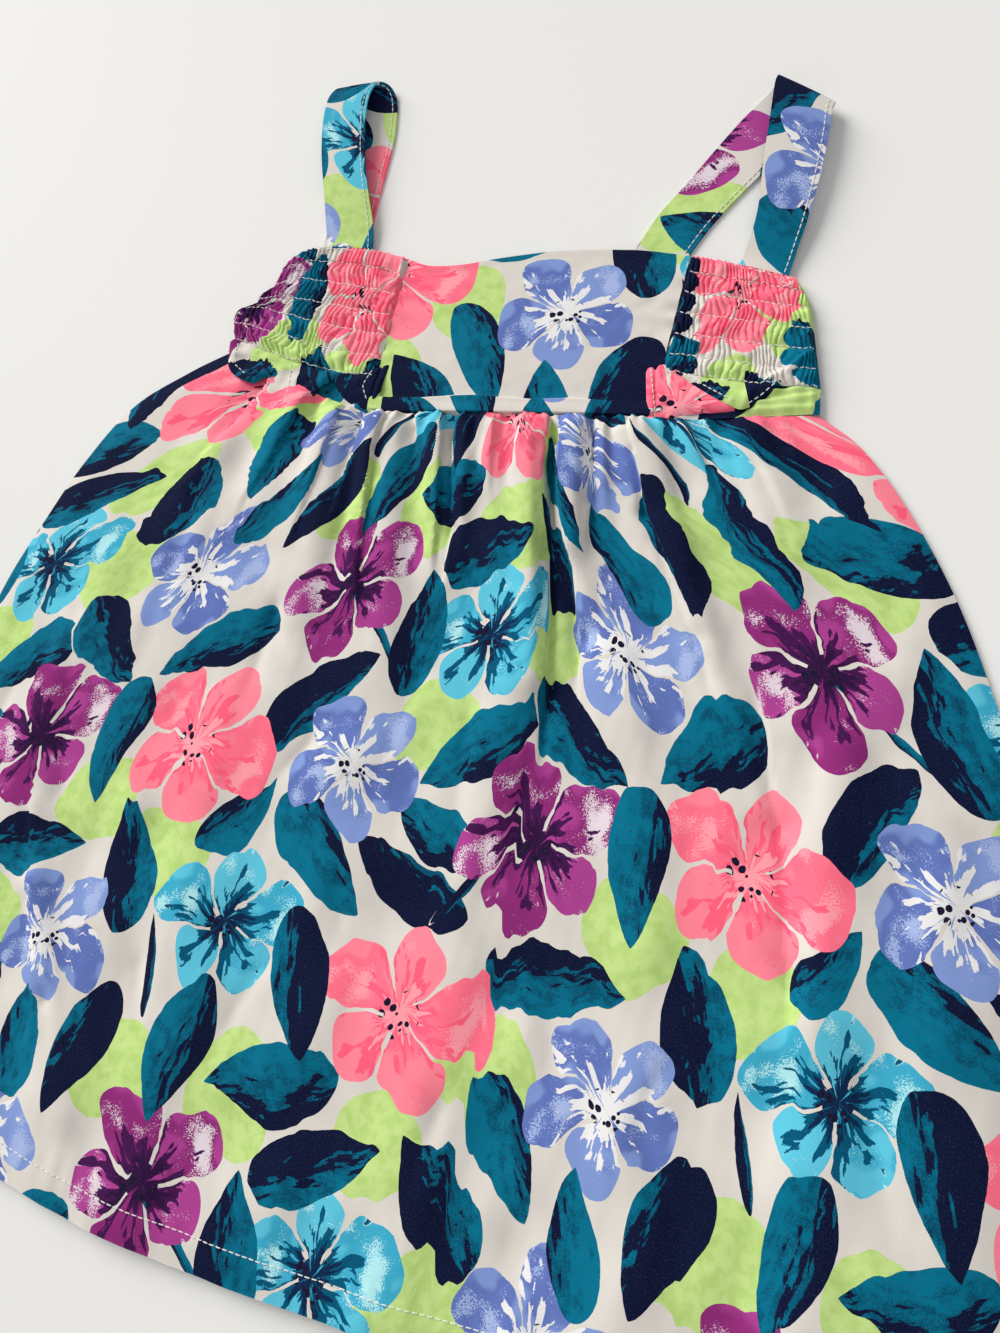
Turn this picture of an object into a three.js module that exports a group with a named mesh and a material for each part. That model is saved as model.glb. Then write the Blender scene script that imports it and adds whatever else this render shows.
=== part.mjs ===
// Toddler sundress laid flat, front up, with its straps folded over at the shoulders.
// Millimetres. X runs across the dress, Y from the hem to the straps, Z up from the table.
// The shapes are drawn about the middle of the waist seam and moved to the centre at the end.

import * as THREE from 'three';

// Cloth and seams
const backWall = 1.2; // wall of the panels that lie on the table
const frontWall = 1.6; // wall of the gathered skirt front and the bodice front
const stripWall = 1.2; // wall of straps and folded strips
const seamGap = 0.3; // gap between two pieces at a seam
const frontFloor = backWall + seamGap; // underside of the front panels
const frontFace = frontFloor + frontWall; // their outer face where they lie flat

// Skirt
const skirtColumns = 88;
const skirtRows = 16;
const rowCrowding = 1.6; // above 1 crowds the rows towards the waist
const skirtPuff = 2.2; // air under the middle of the skirt front
const tallestFold = 6.5; // folds level off at this height
const seamPinch = 9; // length over which gathers rise from the waist seam
const seamHeight = 0.35; // share of a gather's height at the seam itself

// Elastic side panels
const puckerHeight = 1.3;
const puckerCount = 16; // puckers across one side panel
const elasticRows = 5;
const puckerSamples = 4; // columns to a pucker
const puckerSway = 0.35; // sideways shift of a pucker between two rows, as a share of its width

// Waist folds
const foldFloor = 4.9; // underside of the folds that lie on the bands
const pointRise = 1.6; // how much higher a point's tip lies than its root

// Seams between the middle panel of the bodice and its side panels
const middleLeftX = -60;
const middleRightX = 60.3;
const middleRightLean = 2.2; // the right seam leans out by this much at the top
const bodiceHeight = 78;

const waistSeam = [
  { x: -135, y: 18 },
  { x: -98, y: 6 },
  { x: -60, y: -3 },
  { x: -20, y: 0 },
  { x: 28, y: 5 },
  { x: 60, y: 8 },
  { x: 92, y: 12 },
  { x: 125, y: 18 },
];

const hemLine = [
  { x: -236, y: -325 },
  { x: -160, y: -335 },
  { x: -75, y: -342 },
  { x: 20, y: -342 },
  { x: 118, y: -336 },
  { x: 232, y: -322 },
];

const bodiceTop = [
  { x: -119, y: 64 },
  { x: -110, y: 71.5 },
  { x: -98, y: 74 },
  { x: -78, y: 74 },
  { x: -60, y: 71 },
  { x: -50, y: 68.5 },
  { x: -36, y: 70 },
  { x: -15, y: 75.5 },
  { x: 10, y: 80.5 },
  { x: 40, y: 83 },
  { x: 62, y: 82 },
  { x: 82, y: 79.5 },
  { x: 107, y: 75 },
];

// Where the cloth of the skirt front lies: share of its width, place at the seam and at the hem
const skirtSpread = [
  { share: 0, seamX: -135, hemX: -236 },
  { share: 0.18, seamX: -60, hemX: -150 },
  { share: 0.82, seamX: 60, hemX: 148 },
  { share: 1, seamX: 125, hemX: 232 },
];

// Side folds of the skirt: share of the length below the waist, and X on the left and right
const skirtSides = [
  { share: 0, left: -135, right: 125 },
  { share: 0.03, left: -150, right: 141 },
  { share: 0.09, left: -174, right: 160 },
  { share: 0.18, left: -191, right: 181 },
  { share: 0.27, left: -202, right: 197 },
  { share: 0.37, left: -212, right: 211 },
  { share: 0.6, left: -225, right: 222 },
  { share: 1, left: -236, right: 232 },
];

// Gathers and folds of the skirt front: ridges from one place to another, with the half
// width at both ends and the height at the start and at the end
const skirtFolds = [
  { x0: -46, y0: 0, x1: -19, y1: -140, w0: 8, w1: 14, rise: 4.2, end: 0.6 },
  { x0: -26, y0: 0, x1: -3, y1: -84, w0: 4.5, w1: 8, rise: 3.6, end: 0.5 },
  { x0: -14.5, y0: 1, x1: -2, y1: -64, w0: 3, w1: 5, rise: 3.4, end: 0.3 },
  { x0: -4, y0: 2, x1: 18, y1: -86, w0: 5.5, w1: 11, rise: 3.6, end: 0.6 },
  { x0: 10, y0: 4, x1: 38, y1: -104, w0: 5, w1: 8, rise: 4.4, end: 2 },
  { x0: 30, y0: 5, x1: 42, y1: -46, w0: 5.5, w1: 6, rise: 5, end: 3 },
  { x0: 42, y0: -46, x1: 72, y1: -130, w0: 6, w1: 12, rise: 3, end: 0.8 },
  { x0: 41, y0: 6, x1: 56, y1: -54, w0: 3, w1: 5, rise: 2.6, end: 0.3 },
  { x0: 51, y0: 8, x1: 72, y1: -50, w0: 5, w1: 9, rise: 4.4, end: 0.5 },
  { x0: 60, y0: 2, x1: 124, y1: -133, w0: 5, w1: 11, rise: 3, end: 1 },
  { x0: -69, y0: -8, x1: -67, y1: -133, w0: 8, w1: 16, rise: 3.6, end: 0.8 },
  { x0: -90, y0: 0, x1: -104, y1: -120, w0: 9, w1: 18, rise: 1.8, end: 0.6 },
  { x0: -124, y0: -30, x1: -134, y1: -163, w0: 12, w1: 18, rise: 2.4, end: 0.8 },
  { x0: 96, y0: 4, x1: 150, y1: -110, w0: 10, w1: 18, rise: 1.6, end: 0.6 },
  { x0: -160, y0: -90, x1: -186, y1: -300, w0: 12, w1: 24, rise: 1.6, end: 2 },
  { x0: -148, y0: -226, x1: -106, y1: -306, w0: 8, w1: 10, rise: 1.4, end: 1.2 },
  { x0: -88, y0: -140, x1: -72, y1: -338, w0: 14, w1: 22, rise: 1.2, end: 1.8 },
  { x0: -30, y0: -150, x1: -14, y1: -338, w0: 14, w1: 22, rise: 1, end: 1.4 },
  { x0: 36, y0: -106, x1: 46, y1: -338, w0: 9, w1: 22, rise: 1.8, end: 1.6 },
  { x0: 96, y0: -160, x1: 138, y1: -332, w0: 10, w1: 20, rise: 1.4, end: 2 },
  { x0: 152, y0: -150, x1: 192, y1: -322, w0: 10, w1: 22, rise: 1.6, end: 1.8 },
];

// Outer edges of the side panels, from the top down
const sideEdges = {
  left: [
    { down: 0, x: -119, y: 64 },
    { down: 0.25, x: -121, y: 55 },
    { down: 0.5, x: -124, y: 44 },
    { down: 0.75, x: -129.5, y: 34 },
    { down: 1, x: -133, y: 24 },
  ],
  right: [
    { down: 0, x: 107, y: 75 },
    { down: 0.25, x: 113.5, y: 65 },
    { down: 0.5, x: 117, y: 53 },
    { down: 0.75, x: 120.5, y: 40 },
    { down: 1, x: 123.5, y: 29 },
  ],
};

// The lowest elastic row of each side panel
const lastRows = {
  left: [
    { x: -133, y: 24 },
    { x: -105, y: 17 },
    { x: -80, y: 13 },
    { x: -60, y: 13 },
  ],
  right: [
    { x: 60, y: 28 },
    { x: 80, y: 28 },
    { x: 100, y: 27.5 },
    { x: 123.5, y: 29 },
  ],
};

// Buckles across each waist band: ridges as on the skirt
const bandFolds = {
  left: [
    { x0: -68, y0: 14, x1: -66, y1: -2, w0: 3, w1: 4, rise: 1.2, end: 1 },
    { x0: -84, y0: 14, x1: -88, y1: 4, w0: 3, w1: 4, rise: 1.2, end: 1.2 },
    { x0: -104, y0: 17, x1: -108, y1: 8, w0: 3, w1: 4, rise: 1.3, end: 1.2 },
    { x0: -122, y0: 22, x1: -126, y1: 15, w0: 3, w1: 3, rise: 1.2, end: 1 },
  ],
  right: [
    { x0: 70, y0: 27, x1: 68, y1: 10, w0: 3, w1: 4, rise: 1.2, end: 1 },
    { x0: 90, y0: 27, x1: 92, y1: 13, w0: 3, w1: 4, rise: 1.2, end: 1.2 },
    { x0: 107, y0: 28, x1: 106, y1: 15, w0: 2, w1: 3, rise: 1.3, end: 1.2 },
    { x0: 116, y0: 28, x1: 117, y1: 17, w0: 2, w1: 3, rise: 1.4, end: 1.2 },
  ],
};

// Folds thrown over the edge of the middle panel: the upper and lower edge, from the middle out
const tucks = {
  left: [
    { upperX: -57, upperY: 19, lowerX: -56, lowerY: 0 },
    { upperX: -66, upperY: 15, lowerX: -67, lowerY: 2.5 },
    { upperX: -76, upperY: 9.5, lowerX: -77, lowerY: 4.5 },
  ],
  right: [
    { upperX: 51.5, upperY: 31, lowerX: 56, lowerY: 13 },
    { upperX: 64, upperY: 29.5, lowerX: 65, lowerY: 4.5 },
    { upperX: 78, upperY: 25, lowerX: 79, lowerY: 8 },
    { upperX: 90, upperY: 20.5, lowerX: 92, lowerY: 13 },
  ],
};

// Pointed folds over the skirt: root and free edge, from one side round the tip to the other
const points = {
  left: [
    { rootX: -112, rootY: 20, edgeX: -118, edgeY: 13 },
    { rootX: -104, rootY: 14, edgeX: -108, edgeY: 3 },
    { rootX: -94, rootY: 9, edgeX: -95, edgeY: -8 },
    { rootX: -88, rootY: 14, edgeX: -84, edgeY: 6 },
    { rootX: -82, rootY: 19, edgeX: -76, edgeY: 17 },
  ],
  right: [
    { rootX: 79, rootY: 33, edgeX: 72, edgeY: 30 },
    { rootX: 89, rootY: 30, edgeX: 86, edgeY: 22.5 },
    { rootX: 99, rootY: 26, edgeX: 101, edgeY: 16 },
    { rootX: 103, rootY: 30, edgeX: 108, edgeY: 26 },
    { rootX: 105, rootY: 34, edgeX: 112, edgeY: 35 },
  ],
};

// Straps: both edges of the outer face, from the bodice front over the shoulder fold to the back
const straps = {
  left: [
    { ax: -101, ay: 74.5, az: 2.7, bx: -79, by: 74.5, bz: 2.7 },
    { ax: -102.5, ay: 79, az: 2.7, bx: -80, by: 79.5, bz: 2.7 },
    { ax: -105, ay: 87, az: 3.8, bx: -82, by: 88, bz: 4.2 },
    { ax: -109, ay: 100, az: 5, bx: -86, by: 99, bz: 6 },
    { ax: -115, ay: 118, az: 6, bx: -91, by: 113, bz: 8 },
    { ax: -119, ay: 134, az: 6.8, bx: -95, by: 128, bz: 9.6 },
    { ax: -120, ay: 146, az: 7.2, bx: -98, by: 141, bz: 10.6 },
    { ax: -118, ay: 152, az: 6.4, bx: -97.5, by: 150, bz: 10 },
    { ax: -115.5, ay: 153.8, az: 3.8, bx: -94, by: 154.2, bz: 6 },
    { ax: -113, ay: 151.5, az: 1.1, bx: -90.5, by: 152.5, bz: 1.6 },
    { ax: -111, ay: 146, az: 0, bx: -88, by: 146.5, bz: 0 },
    { ax: -108, ay: 134, az: 0, bx: -85, by: 134, bz: 0 },
    { ax: -104, ay: 118, az: 0, bx: -82, by: 118, bz: 0 },
    { ax: -101, ay: 98, az: 0, bx: -79, by: 98, bz: 0 },
    { ax: -99, ay: 73.5, az: 0, bx: -77, by: 73.5, bz: 0 },
  ],
  right: [
    { ax: 83, ay: 80, az: 2.7, bx: 103, by: 76.5, bz: 2.7 },
    { ax: 84, ay: 85, az: 2.7, bx: 103.8, by: 82, bz: 2.7 },
    { ax: 85.5, ay: 94, az: 4.4, bx: 105, by: 91, bz: 3.8 },
    { ax: 86, ay: 106, az: 6, bx: 106.5, by: 102, bz: 5 },
    { ax: 84.5, ay: 126, az: 7.4, bx: 108, by: 121, bz: 6.2 },
    { ax: 83.5, ay: 147, az: 8.4, bx: 108.2, by: 139, bz: 7 },
    { ax: 82.8, ay: 161.5, az: 8.4, bx: 107.6, by: 150.5, bz: 7 },
    { ax: 83.4, ay: 166.4, az: 7.2, bx: 108.2, by: 155, bz: 6 },
    { ax: 83.6, ay: 168.2, az: 4.2, bx: 108.4, by: 156.6, bz: 3.6 },
    { ax: 82.6, ay: 166.6, az: 1.2, bx: 107.2, by: 155.2, bz: 1.1 },
    { ax: 80, ay: 162, az: 0, bx: 104.4, by: 151.4, bz: 0 },
    { ax: 72, ay: 150, az: 0, bx: 97.5, by: 142, bz: 0 },
    { ax: 63, ay: 134, az: 0, bx: 87, by: 128, bz: 0 },
    { ax: 54, ay: 117, az: 0, bx: 77, by: 113, bz: 0 },
    { ax: 45, ay: 101, az: 0, bx: 68, by: 98, bz: 0 },
    { ax: 38, ay: 82, az: 0, bx: 60.5, by: 81.5, bz: 0 },
  ],
};

const smoothstep = THREE.MathUtils.smoothstep;
const lerp = THREE.MathUtils.lerp;

// A smooth curve through the rows of a table: column `value` at place `at` of column `key`
function read(table, key, value, at) {
  const last = table.length - 1;
  let i = 0;
  while (i < last - 1 && at > table[i + 1][key]) i++;
  const slope = (k) => {
    const a = table[Math.max(k - 1, 0)];
    const b = table[Math.min(k + 1, last)];
    return (b[value] - a[value]) / (b[key] - a[key]);
  };
  const span = table[i + 1][key] - table[i][key];
  const t = THREE.MathUtils.clamp((at - table[i][key]) / span, 0, 1);
  const t2 = t * t;
  const t3 = t2 * t;
  return (2 * t3 - 3 * t2 + 1) * table[i][value] + (t3 - 2 * t2 + t) * span * slope(i)
    + (3 * t2 - 2 * t3) * table[i + 1][value] + (t3 - t2) * span * slope(i + 1);
}

const seamY = (x) => read(waistSeam, 'x', 'y', x);
const hemY = (x) => read(hemLine, 'x', 'y', x);
const topY = (x) => read(bodiceTop, 'x', 'y', x);
const middleRight = (y) => middleRightX + middleRightLean * y / bodiceHeight;

// Height that a table of ridges gives at a place
function ridgeHeight(folds, x, y) {
  let height = 0;
  for (const fold of folds) {
    const dx = fold.x1 - fold.x0;
    const dy = fold.y1 - fold.y0;
    const run = dx * dx + dy * dy;
    const along = ((x - fold.x0) * dx + (y - fold.y0) * dy) / run;
    const s = THREE.MathUtils.clamp(along, 0, 1);
    const away = Math.hypot(x - fold.x0 - s * dx, y - fold.y0 - s * dy) / lerp(fold.w0, fold.w1, s);
    height += lerp(fold.rise, fold.end, smoothstep(s, 0, 1)) * Math.exp(-away * away);
  }
  return tallestFold * Math.tanh(height / tallestFold);
}

// A place on the skirt: across and down are shares of its cloth
function skirtPlace(across, down) {
  const seamX = read(skirtSpread, 'share', 'seamX', across);
  const hemX = read(skirtSpread, 'share', 'hemX', across);
  const bulge = (edge, sideX, sideHemX) => read(skirtSides, 'share', edge, down)
    - lerp(sideX, sideHemX, down);
  const x = lerp(seamX, hemX, down)
    + (1 - across) * bulge('left', waistSeam[0].x, hemLine[0].x)
    + across * bulge('right', waistSeam.at(-1).x, hemLine.at(-1).x);
  return new THREE.Vector3(x, lerp(seamY(seamX), hemY(hemX), down), 0);
}

// A grid of points: rows run down, columns run across
function grid(columns, rows, place) {
  const points = [];
  for (let j = 0; j <= rows; j++) {
    for (let i = 0; i <= columns; i++) points.push(place(i / columns, j / rows));
  }
  return { columns, rows, points };
}

// The border of a grid, as indices, once round
function border({ columns, rows }) {
  const wide = columns + 1;
  const loop = [];
  for (let i = 0; i < columns; i++) loop.push(i);
  for (let j = 0; j < rows; j++) loop.push(j * wide + columns);
  for (let i = columns; i > 0; i--) loop.push(rows * wide + i);
  for (let j = rows; j > 0; j--) loop.push(j * wide);
  return loop;
}

function faces({ columns, rows }, from, flipped) {
  const wide = columns + 1;
  const index = [];
  for (let j = 0; j < rows; j++) {
    for (let i = 0; i < columns; i++) {
      const a = from + j * wide + i;
      const quad = [a, a + wide, a + wide + 1, a, a + wide + 1, a + 1];
      index.push(...(flipped ? quad.reverse() : quad));
    }
  }
  return index;
}

function solid(points, index) {
  const geometry = new THREE.BufferGeometry().setFromPoints(points);
  geometry.setIndex(index);
  geometry.computeVertexNormals();
  return geometry;
}

// A wall of cloth: its outer face and an inner face with the same grid
function wall(outer, innerPoints) {
  const count = outer.points.length;
  const index = [...faces(outer, 0, false), ...faces(outer, count, true)];
  const loop = border(outer);
  loop.forEach((a, k) => {
    const b = loop[(k + 1) % loop.length];
    index.push(a, b, b + count, a, b + count, a + count);
  });
  return solid([...outer.points, ...innerPoints], index);
}

// A wall whose inner face follows the outer one, straight below it
const followedWall = (outer, thickness) => wall(
  outer,
  outer.points.map((point) => point.clone().setZ(point.z - thickness)),
);

// A wall whose inner face is plain, at one height, and fans out from the middle
function plainWall(outer, height) {
  const loop = border(outer);
  const count = outer.points.length;
  const rim = loop.map((k) => outer.points[k].clone().setZ(height));
  const hub = rim.reduce((sum, point) => sum.add(point), new THREE.Vector3());
  hub.divideScalar(rim.length);
  const hubIndex = count + rim.length;
  const index = faces(outer, 0, false);
  loop.forEach((a, k) => {
    const next = (k + 1) % loop.length;
    index.push(a, loop[next], count + next, a, count + next, count + k);
    index.push(hubIndex, count + k, count + next);
  });
  return solid([...outer.points, ...rim, hub], index);
}

// A wall that bends over on itself: its inner face is set off along the surface's normals
function bentWall(outer, thickness) {
  const normals = solid(outer.points, faces(outer, 0, false)).getAttribute('normal');
  return wall(outer, outer.points.map((point, k) => new THREE.Vector3()
    .fromBufferAttribute(normals, k)
    .multiplyScalar(-thickness)
    .add(point)));
}

function skirtFront() {
  const outer = grid(skirtColumns, skirtRows, (across, step) => {
    const down = step ** rowCrowding;
    const place = skirtPlace(across, down);
    const inside = Math.sin(Math.PI * across) ** 0.5;
    const fromSeam = seamY(place.x) - place.y;
    const gathered = lerp(seamHeight, 1, smoothstep(fromSeam, 0, seamPinch));
    const puff = skirtPuff * inside * smoothstep(fromSeam, 0, 60) * (1 - 0.6 * down);
    const edge = smoothstep(Math.min(across, 1 - across), 0, 0.06);
    place.z = frontFace + puff + edge * gathered * ridgeHeight(skirtFolds, place.x, place.y);
    return place;
  });
  return followedWall(outer, frontWall);
}

function skirtBack() {
  return plainWall(grid(24, 12, (across, down) => skirtPlace(across, down).setZ(backWall)), 0);
}

// The middle of the bodice front, with the flat tuck that lies just above the waist seam
function bodiceFront() {
  const tuckWidth = 7;
  const tuckRise = 1.4;
  const crown = 0.7;
  const outer = grid(18, 12, (across, step) => {
    const down = 1 - (1 - step) ** 1.5;
    const topX = lerp(middleLeftX, middleRight(topY(62)), across);
    const bottomX = lerp(middleLeftX, middleRightX, across);
    const x = lerp(topX, bottomX, down);
    const y = lerp(topY(topX), seamY(bottomX) + seamGap, down);
    const fromSeam = y - seamY(x);
    const tuck = smoothstep(fromSeam, 0, 2) * (1 - smoothstep(fromSeam, tuckWidth, tuckWidth + 2));
    const swell = crown * Math.sin(Math.PI * across) * Math.sin(Math.PI * step);
    return new THREE.Vector3(x, y, frontFace + swell + tuckRise * tuck);
  });
  return followedWall(outer, frontWall);
}

function bodiceBack() {
  const inset = 1.5; // the back ends this much below the front's top edge
  return plainWall(grid(24, 4, (across, down) => {
    const topX = lerp(sideEdges.left[0].x, sideEdges.right[0].x, across);
    const bottomX = lerp(waistSeam[0].x, waistSeam.at(-1).x, across);
    const leftX = lerp(sideEdges.left[0].x, waistSeam[0].x, down);
    const rightX = lerp(sideEdges.right[0].x, waistSeam.at(-1).x, down);
    const x = lerp(leftX, rightX, across);
    return new THREE.Vector3(x, lerp(topY(topX) - inset, seamY(bottomX) + seamGap, down), backWall);
  }), 0);
}

// A place on a side panel: across from its left edge, down from its top edge
function sidePlace(side, across, down) {
  const edge = (value) => read(sideEdges[side], 'down', value, down);
  const lastRow = (x) => read(lastRows[side], 'x', 'y', x);
  const innerTopX = side === 'left' ? middleLeftX - seamGap : middleRight(topY(62)) + seamGap;
  const innerBottomX = side === 'left' ? middleLeftX - seamGap : middleRight(28) + seamGap;
  const innerX = lerp(innerTopX, innerBottomX, down);
  const out = side === 'left' ? 1 - across : across;
  const topX = lerp(innerTopX, sideEdges[side][0].x, out);
  const bottomX = lerp(innerBottomX, sideEdges[side].at(-1).x, out);
  const straightX = lerp(sideEdges[side][0].x, sideEdges[side].at(-1).x, down);
  const straightY = lerp(sideEdges[side][0].y, sideEdges[side].at(-1).y, down);
  return new THREE.Vector3(
    lerp(innerX, straightX, out) + out * (edge('x') - straightX),
    lerp(topY(topX), lastRow(bottomX), down) + out * (edge('y') - straightY),
    frontFloor,
  );
}

// A side panel drawn in by elastic rows: puckers that stand highest between the rows
function bodiceSide(side) {
  const header = 0.14; // share of the height above the first elastic row
  const outer = grid(puckerCount * puckerSamples, 2 * elasticRows + 1, (across, down) => {
    const place = sidePlace(side, across, down);
    const row = Math.max(down - header, 0) / (1 - header) * elasticRows;
    const sway = puckerSway * Math.sin(Math.PI * row);
    const wave = 0.5 - 0.5 * Math.cos(2 * Math.PI * (across * puckerCount + sway));
    const swell = down < header ? 0.5 : 0.55 + 0.45 * Math.abs(Math.sin(Math.PI * row));
    const rim = smoothstep(Math.min(across, 1 - across), 0, 0.04);
    place.z = frontFace + puckerHeight * wave * swell * rim;
    return place;
  });
  return plainWall(outer, frontFloor);
}

// The plain stretch of a side panel between its last elastic row and the waist seam
function waistBand(side) {
  const outer = grid(20, 4, (across, down) => {
    const top = sidePlace(side, across, 1);
    const bottomX = side === 'left'
      ? lerp(waistSeam[0].x, middleLeftX - seamGap, across)
      : lerp(middleRightX + seamGap + 0.3, waistSeam.at(-1).x, across);
    const x = lerp(top.x, bottomX, down);
    const y = lerp(top.y - seamGap, seamY(bottomX) + seamGap, down);
    const rim = smoothstep(Math.min(across, 1 - across), 0, 0.06);
    return new THREE.Vector3(x, y, frontFace + rim * ridgeHeight(bandFolds[side], x, y));
  });
  return followedWall(outer, frontWall);
}

// A folded strip between two edges of a table, higher along its second edge by rise
function foldedStrip(table, first, second, rise) {
  const steps = table.map((row, k) => ({ ...row, step: k / (table.length - 1) }));
  return grid((table.length - 1) * 3, 3, (along, over) => {
    const at = (key) => read(steps, 'step', key, along);
    const crown = 0.5 * Math.sin(Math.PI * over);
    return new THREE.Vector3(
      lerp(at(`${first}X`), at(`${second}X`), over),
      lerp(at(`${first}Y`), at(`${second}Y`), over),
      foldFloor + stripWall + crown + rise * over,
    );
  });
}

// Runs the columns of a grid the other way, so that its outer face points up
function mirrored(outer) {
  const wide = outer.columns + 1;
  const points = outer.points.map((_, k) => {
    const column = k % wide;
    return outer.points[k - column + outer.columns - column];
  });
  return { ...outer, points };
}

function waistTuck(side) {
  const outer = foldedStrip(tucks[side], 'upper', 'lower', 0);
  return followedWall(side === 'left' ? mirrored(outer) : outer, stripWall);
}

function waistPoint(side) {
  return followedWall(foldedStrip(points[side], 'root', 'edge', pointRise), stripWall);
}

// A strap: a strip that runs up, folds over at the shoulder and comes back underneath
function strap(side) {
  const crown = 0.4;
  const across = 4;
  const steps = straps[side].map((row, k) => ({ ...row, step: k / (straps[side].length - 1) }));
  const outer = grid(across, 2 * (steps.length - 1), (over, step) => {
    const at = (key) => read(steps, 'step', key, 1 - step);
    const upper = smoothstep(at('az'), 0, 3);
    return new THREE.Vector3(
      lerp(at('ax'), at('bx'), over),
      lerp(at('ay'), at('by'), over),
      Math.max(lerp(at('az'), at('bz'), over) + upper * crown * Math.sin(Math.PI * over), 0),
    );
  });
  // the ends butt against the top edges of the bodice
  const wide = across + 1;
  outer.points.forEach((point, k) => {
    if (k < wide) point.y = topY(point.x) - 1.5 + 2 * seamGap;
    if (k >= outer.points.length - wide) point.y = topY(point.x) + 2 * seamGap;
  });
  return bentWall(outer, stripWall);
}

const print = (color) => new THREE.MeshStandardMaterial({ color, roughness: 0.9, metalness: 0 });

const dress = new THREE.Group();

function add(name, geometry, color) {
  const mesh = new THREE.Mesh(geometry, print(color));
  mesh.name = name;
  dress.add(mesh);
}

const white = '#ece8e1';
const coral = '#ff8a9c';
const teal = '#0b7f97';
const navy = '#23294d';

add('skirt_back', skirtBack(), white);
add('skirt_front', skirtFront(), white);
add('bodice_back', bodiceBack(), white);
add('bodice_front', bodiceFront(), coral);
for (const side of ['left', 'right']) {
  add(`bodice_side_${side}`, bodiceSide(side), teal);
  add(`waist_band_${side}`, waistBand(side), white);
  add(`waist_tuck_${side}`, waistTuck(side), coral);
  add(`waist_point_${side}`, waistPoint(side), navy);
  add(`strap_${side}`, strap(side), teal);
}

const reach = new THREE.Box3().setFromObject(dress);
const middle = reach.getCenter(new THREE.Vector3());
dress.position.set(-middle.x, -middle.y, -reach.min.z);

export default dress;
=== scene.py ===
# Toddler sundress laid flat, front up: cloth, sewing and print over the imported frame.
# Garment measures are millimetres about the middle of the waist seam: x across the dress,
# y towards the straps, z up from the surface that it lies on.
import math
import random

import bpy
import numpy as np
from mathutils import Matrix, Vector
from mathutils.bvhtree import BVHTree


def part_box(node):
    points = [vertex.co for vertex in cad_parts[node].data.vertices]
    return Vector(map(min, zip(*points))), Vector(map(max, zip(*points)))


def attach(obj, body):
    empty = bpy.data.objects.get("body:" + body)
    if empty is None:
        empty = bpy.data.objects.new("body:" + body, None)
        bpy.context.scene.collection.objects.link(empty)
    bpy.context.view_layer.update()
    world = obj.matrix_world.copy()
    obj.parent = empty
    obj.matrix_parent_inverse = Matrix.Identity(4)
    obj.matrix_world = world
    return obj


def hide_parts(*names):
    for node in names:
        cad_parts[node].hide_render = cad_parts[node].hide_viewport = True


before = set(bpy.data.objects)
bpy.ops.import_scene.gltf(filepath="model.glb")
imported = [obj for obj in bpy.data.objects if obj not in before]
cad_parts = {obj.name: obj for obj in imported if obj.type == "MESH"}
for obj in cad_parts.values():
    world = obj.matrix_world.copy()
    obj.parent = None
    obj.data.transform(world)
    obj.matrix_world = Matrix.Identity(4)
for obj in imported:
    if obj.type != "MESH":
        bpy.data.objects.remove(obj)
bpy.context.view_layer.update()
bpy.ops.object.select_all(action="DESELECT")
print("frame loaded")

skirtLow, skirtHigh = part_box("skirt_front")
garment = {
    "middle": (skirtLow[0] + 0.236, skirtHigh[1] - 0.018),  # middle of the waist seam, in metres
    "lowestFace": 2.2,  # outer face of the front panels where they rest on the back
    "frontFace": 3.1,  # outer face of the front panels where they lie flat
    "thickness": 0.5,
    "bodiceHeight": 78,
}


# A smooth curve through the rows of a table: first column in, second column out
def curve(rows):
    table = np.array(rows, float)
    keys, values = table[:, 0], table[:, 1]
    here = np.arange(len(keys))
    before, after = np.maximum(here - 1, 0), np.minimum(here + 1, len(keys) - 1)
    slopes = (values[after] - values[before]) / (keys[after] - keys[before])

    def at(x):
        x = np.asarray(x, float)
        i = np.searchsorted(keys[1:-1], x, side="left")
        span = keys[i + 1] - keys[i]
        t = np.clip((x - keys[i]) / span, 0, 1)
        t2, t3 = t * t, t * t * t
        return ((2 * t3 - 3 * t2 + 1) * values[i] + (t3 - 2 * t2 + t) * span * slopes[i]
                + (3 * t2 - 2 * t3) * values[i + 1] + (t3 - t2) * span * slopes[i + 1])
    return at


def lerp(a, b, t):
    return a + (b - a) * t


def ease(x, low, high):
    t = np.clip((x - low) / (high - low), 0, 1)
    return t * t * (3 - 2 * t)


waves = {"count": 14, "shortest": 0.7, "longest": 1.5, "reach": 4.2}


# Soft uneven ground made of crossing waves, about -1 to 1
def unevenness(x, y, size, seed):
    draw = random.Random(seed)
    total = np.zeros_like(x)
    for _ in range(waves["count"]):
        turn = draw.uniform(0, math.tau)
        step = math.tau / (size * draw.uniform(waves["shortest"], waves["longest"]))
        phase = draw.uniform(0, math.tau)
        total = total + np.sin((x * math.cos(turn) + y * math.sin(turn)) * step + phase)
    return total / waves["reach"]


# Unevenness of a table: height, size and seed
def softly(table, x, y):
    return sum(high * unevenness(x, y, size, seed) for high, size, seed in table)


# Place along a fold from 0 to 1, signed distance to its side (plus is to the right of a fold
# that runs down the dress) and distance away from it
def alongFold(x, y, x0, y0, x1, y1):
    dx, dy = x1 - x0, y1 - y0
    run = dx * dx + dy * dy
    s = np.clip(((x - x0) * dx + (y - y0) * dy) / run, 0, 1)
    ox, oy = x - x0 - s * dx, y - y0 - s * dy
    side = (dx * oy - dy * ox) / math.sqrt(run)
    return s, side, np.hypot(ox, oy)


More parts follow.
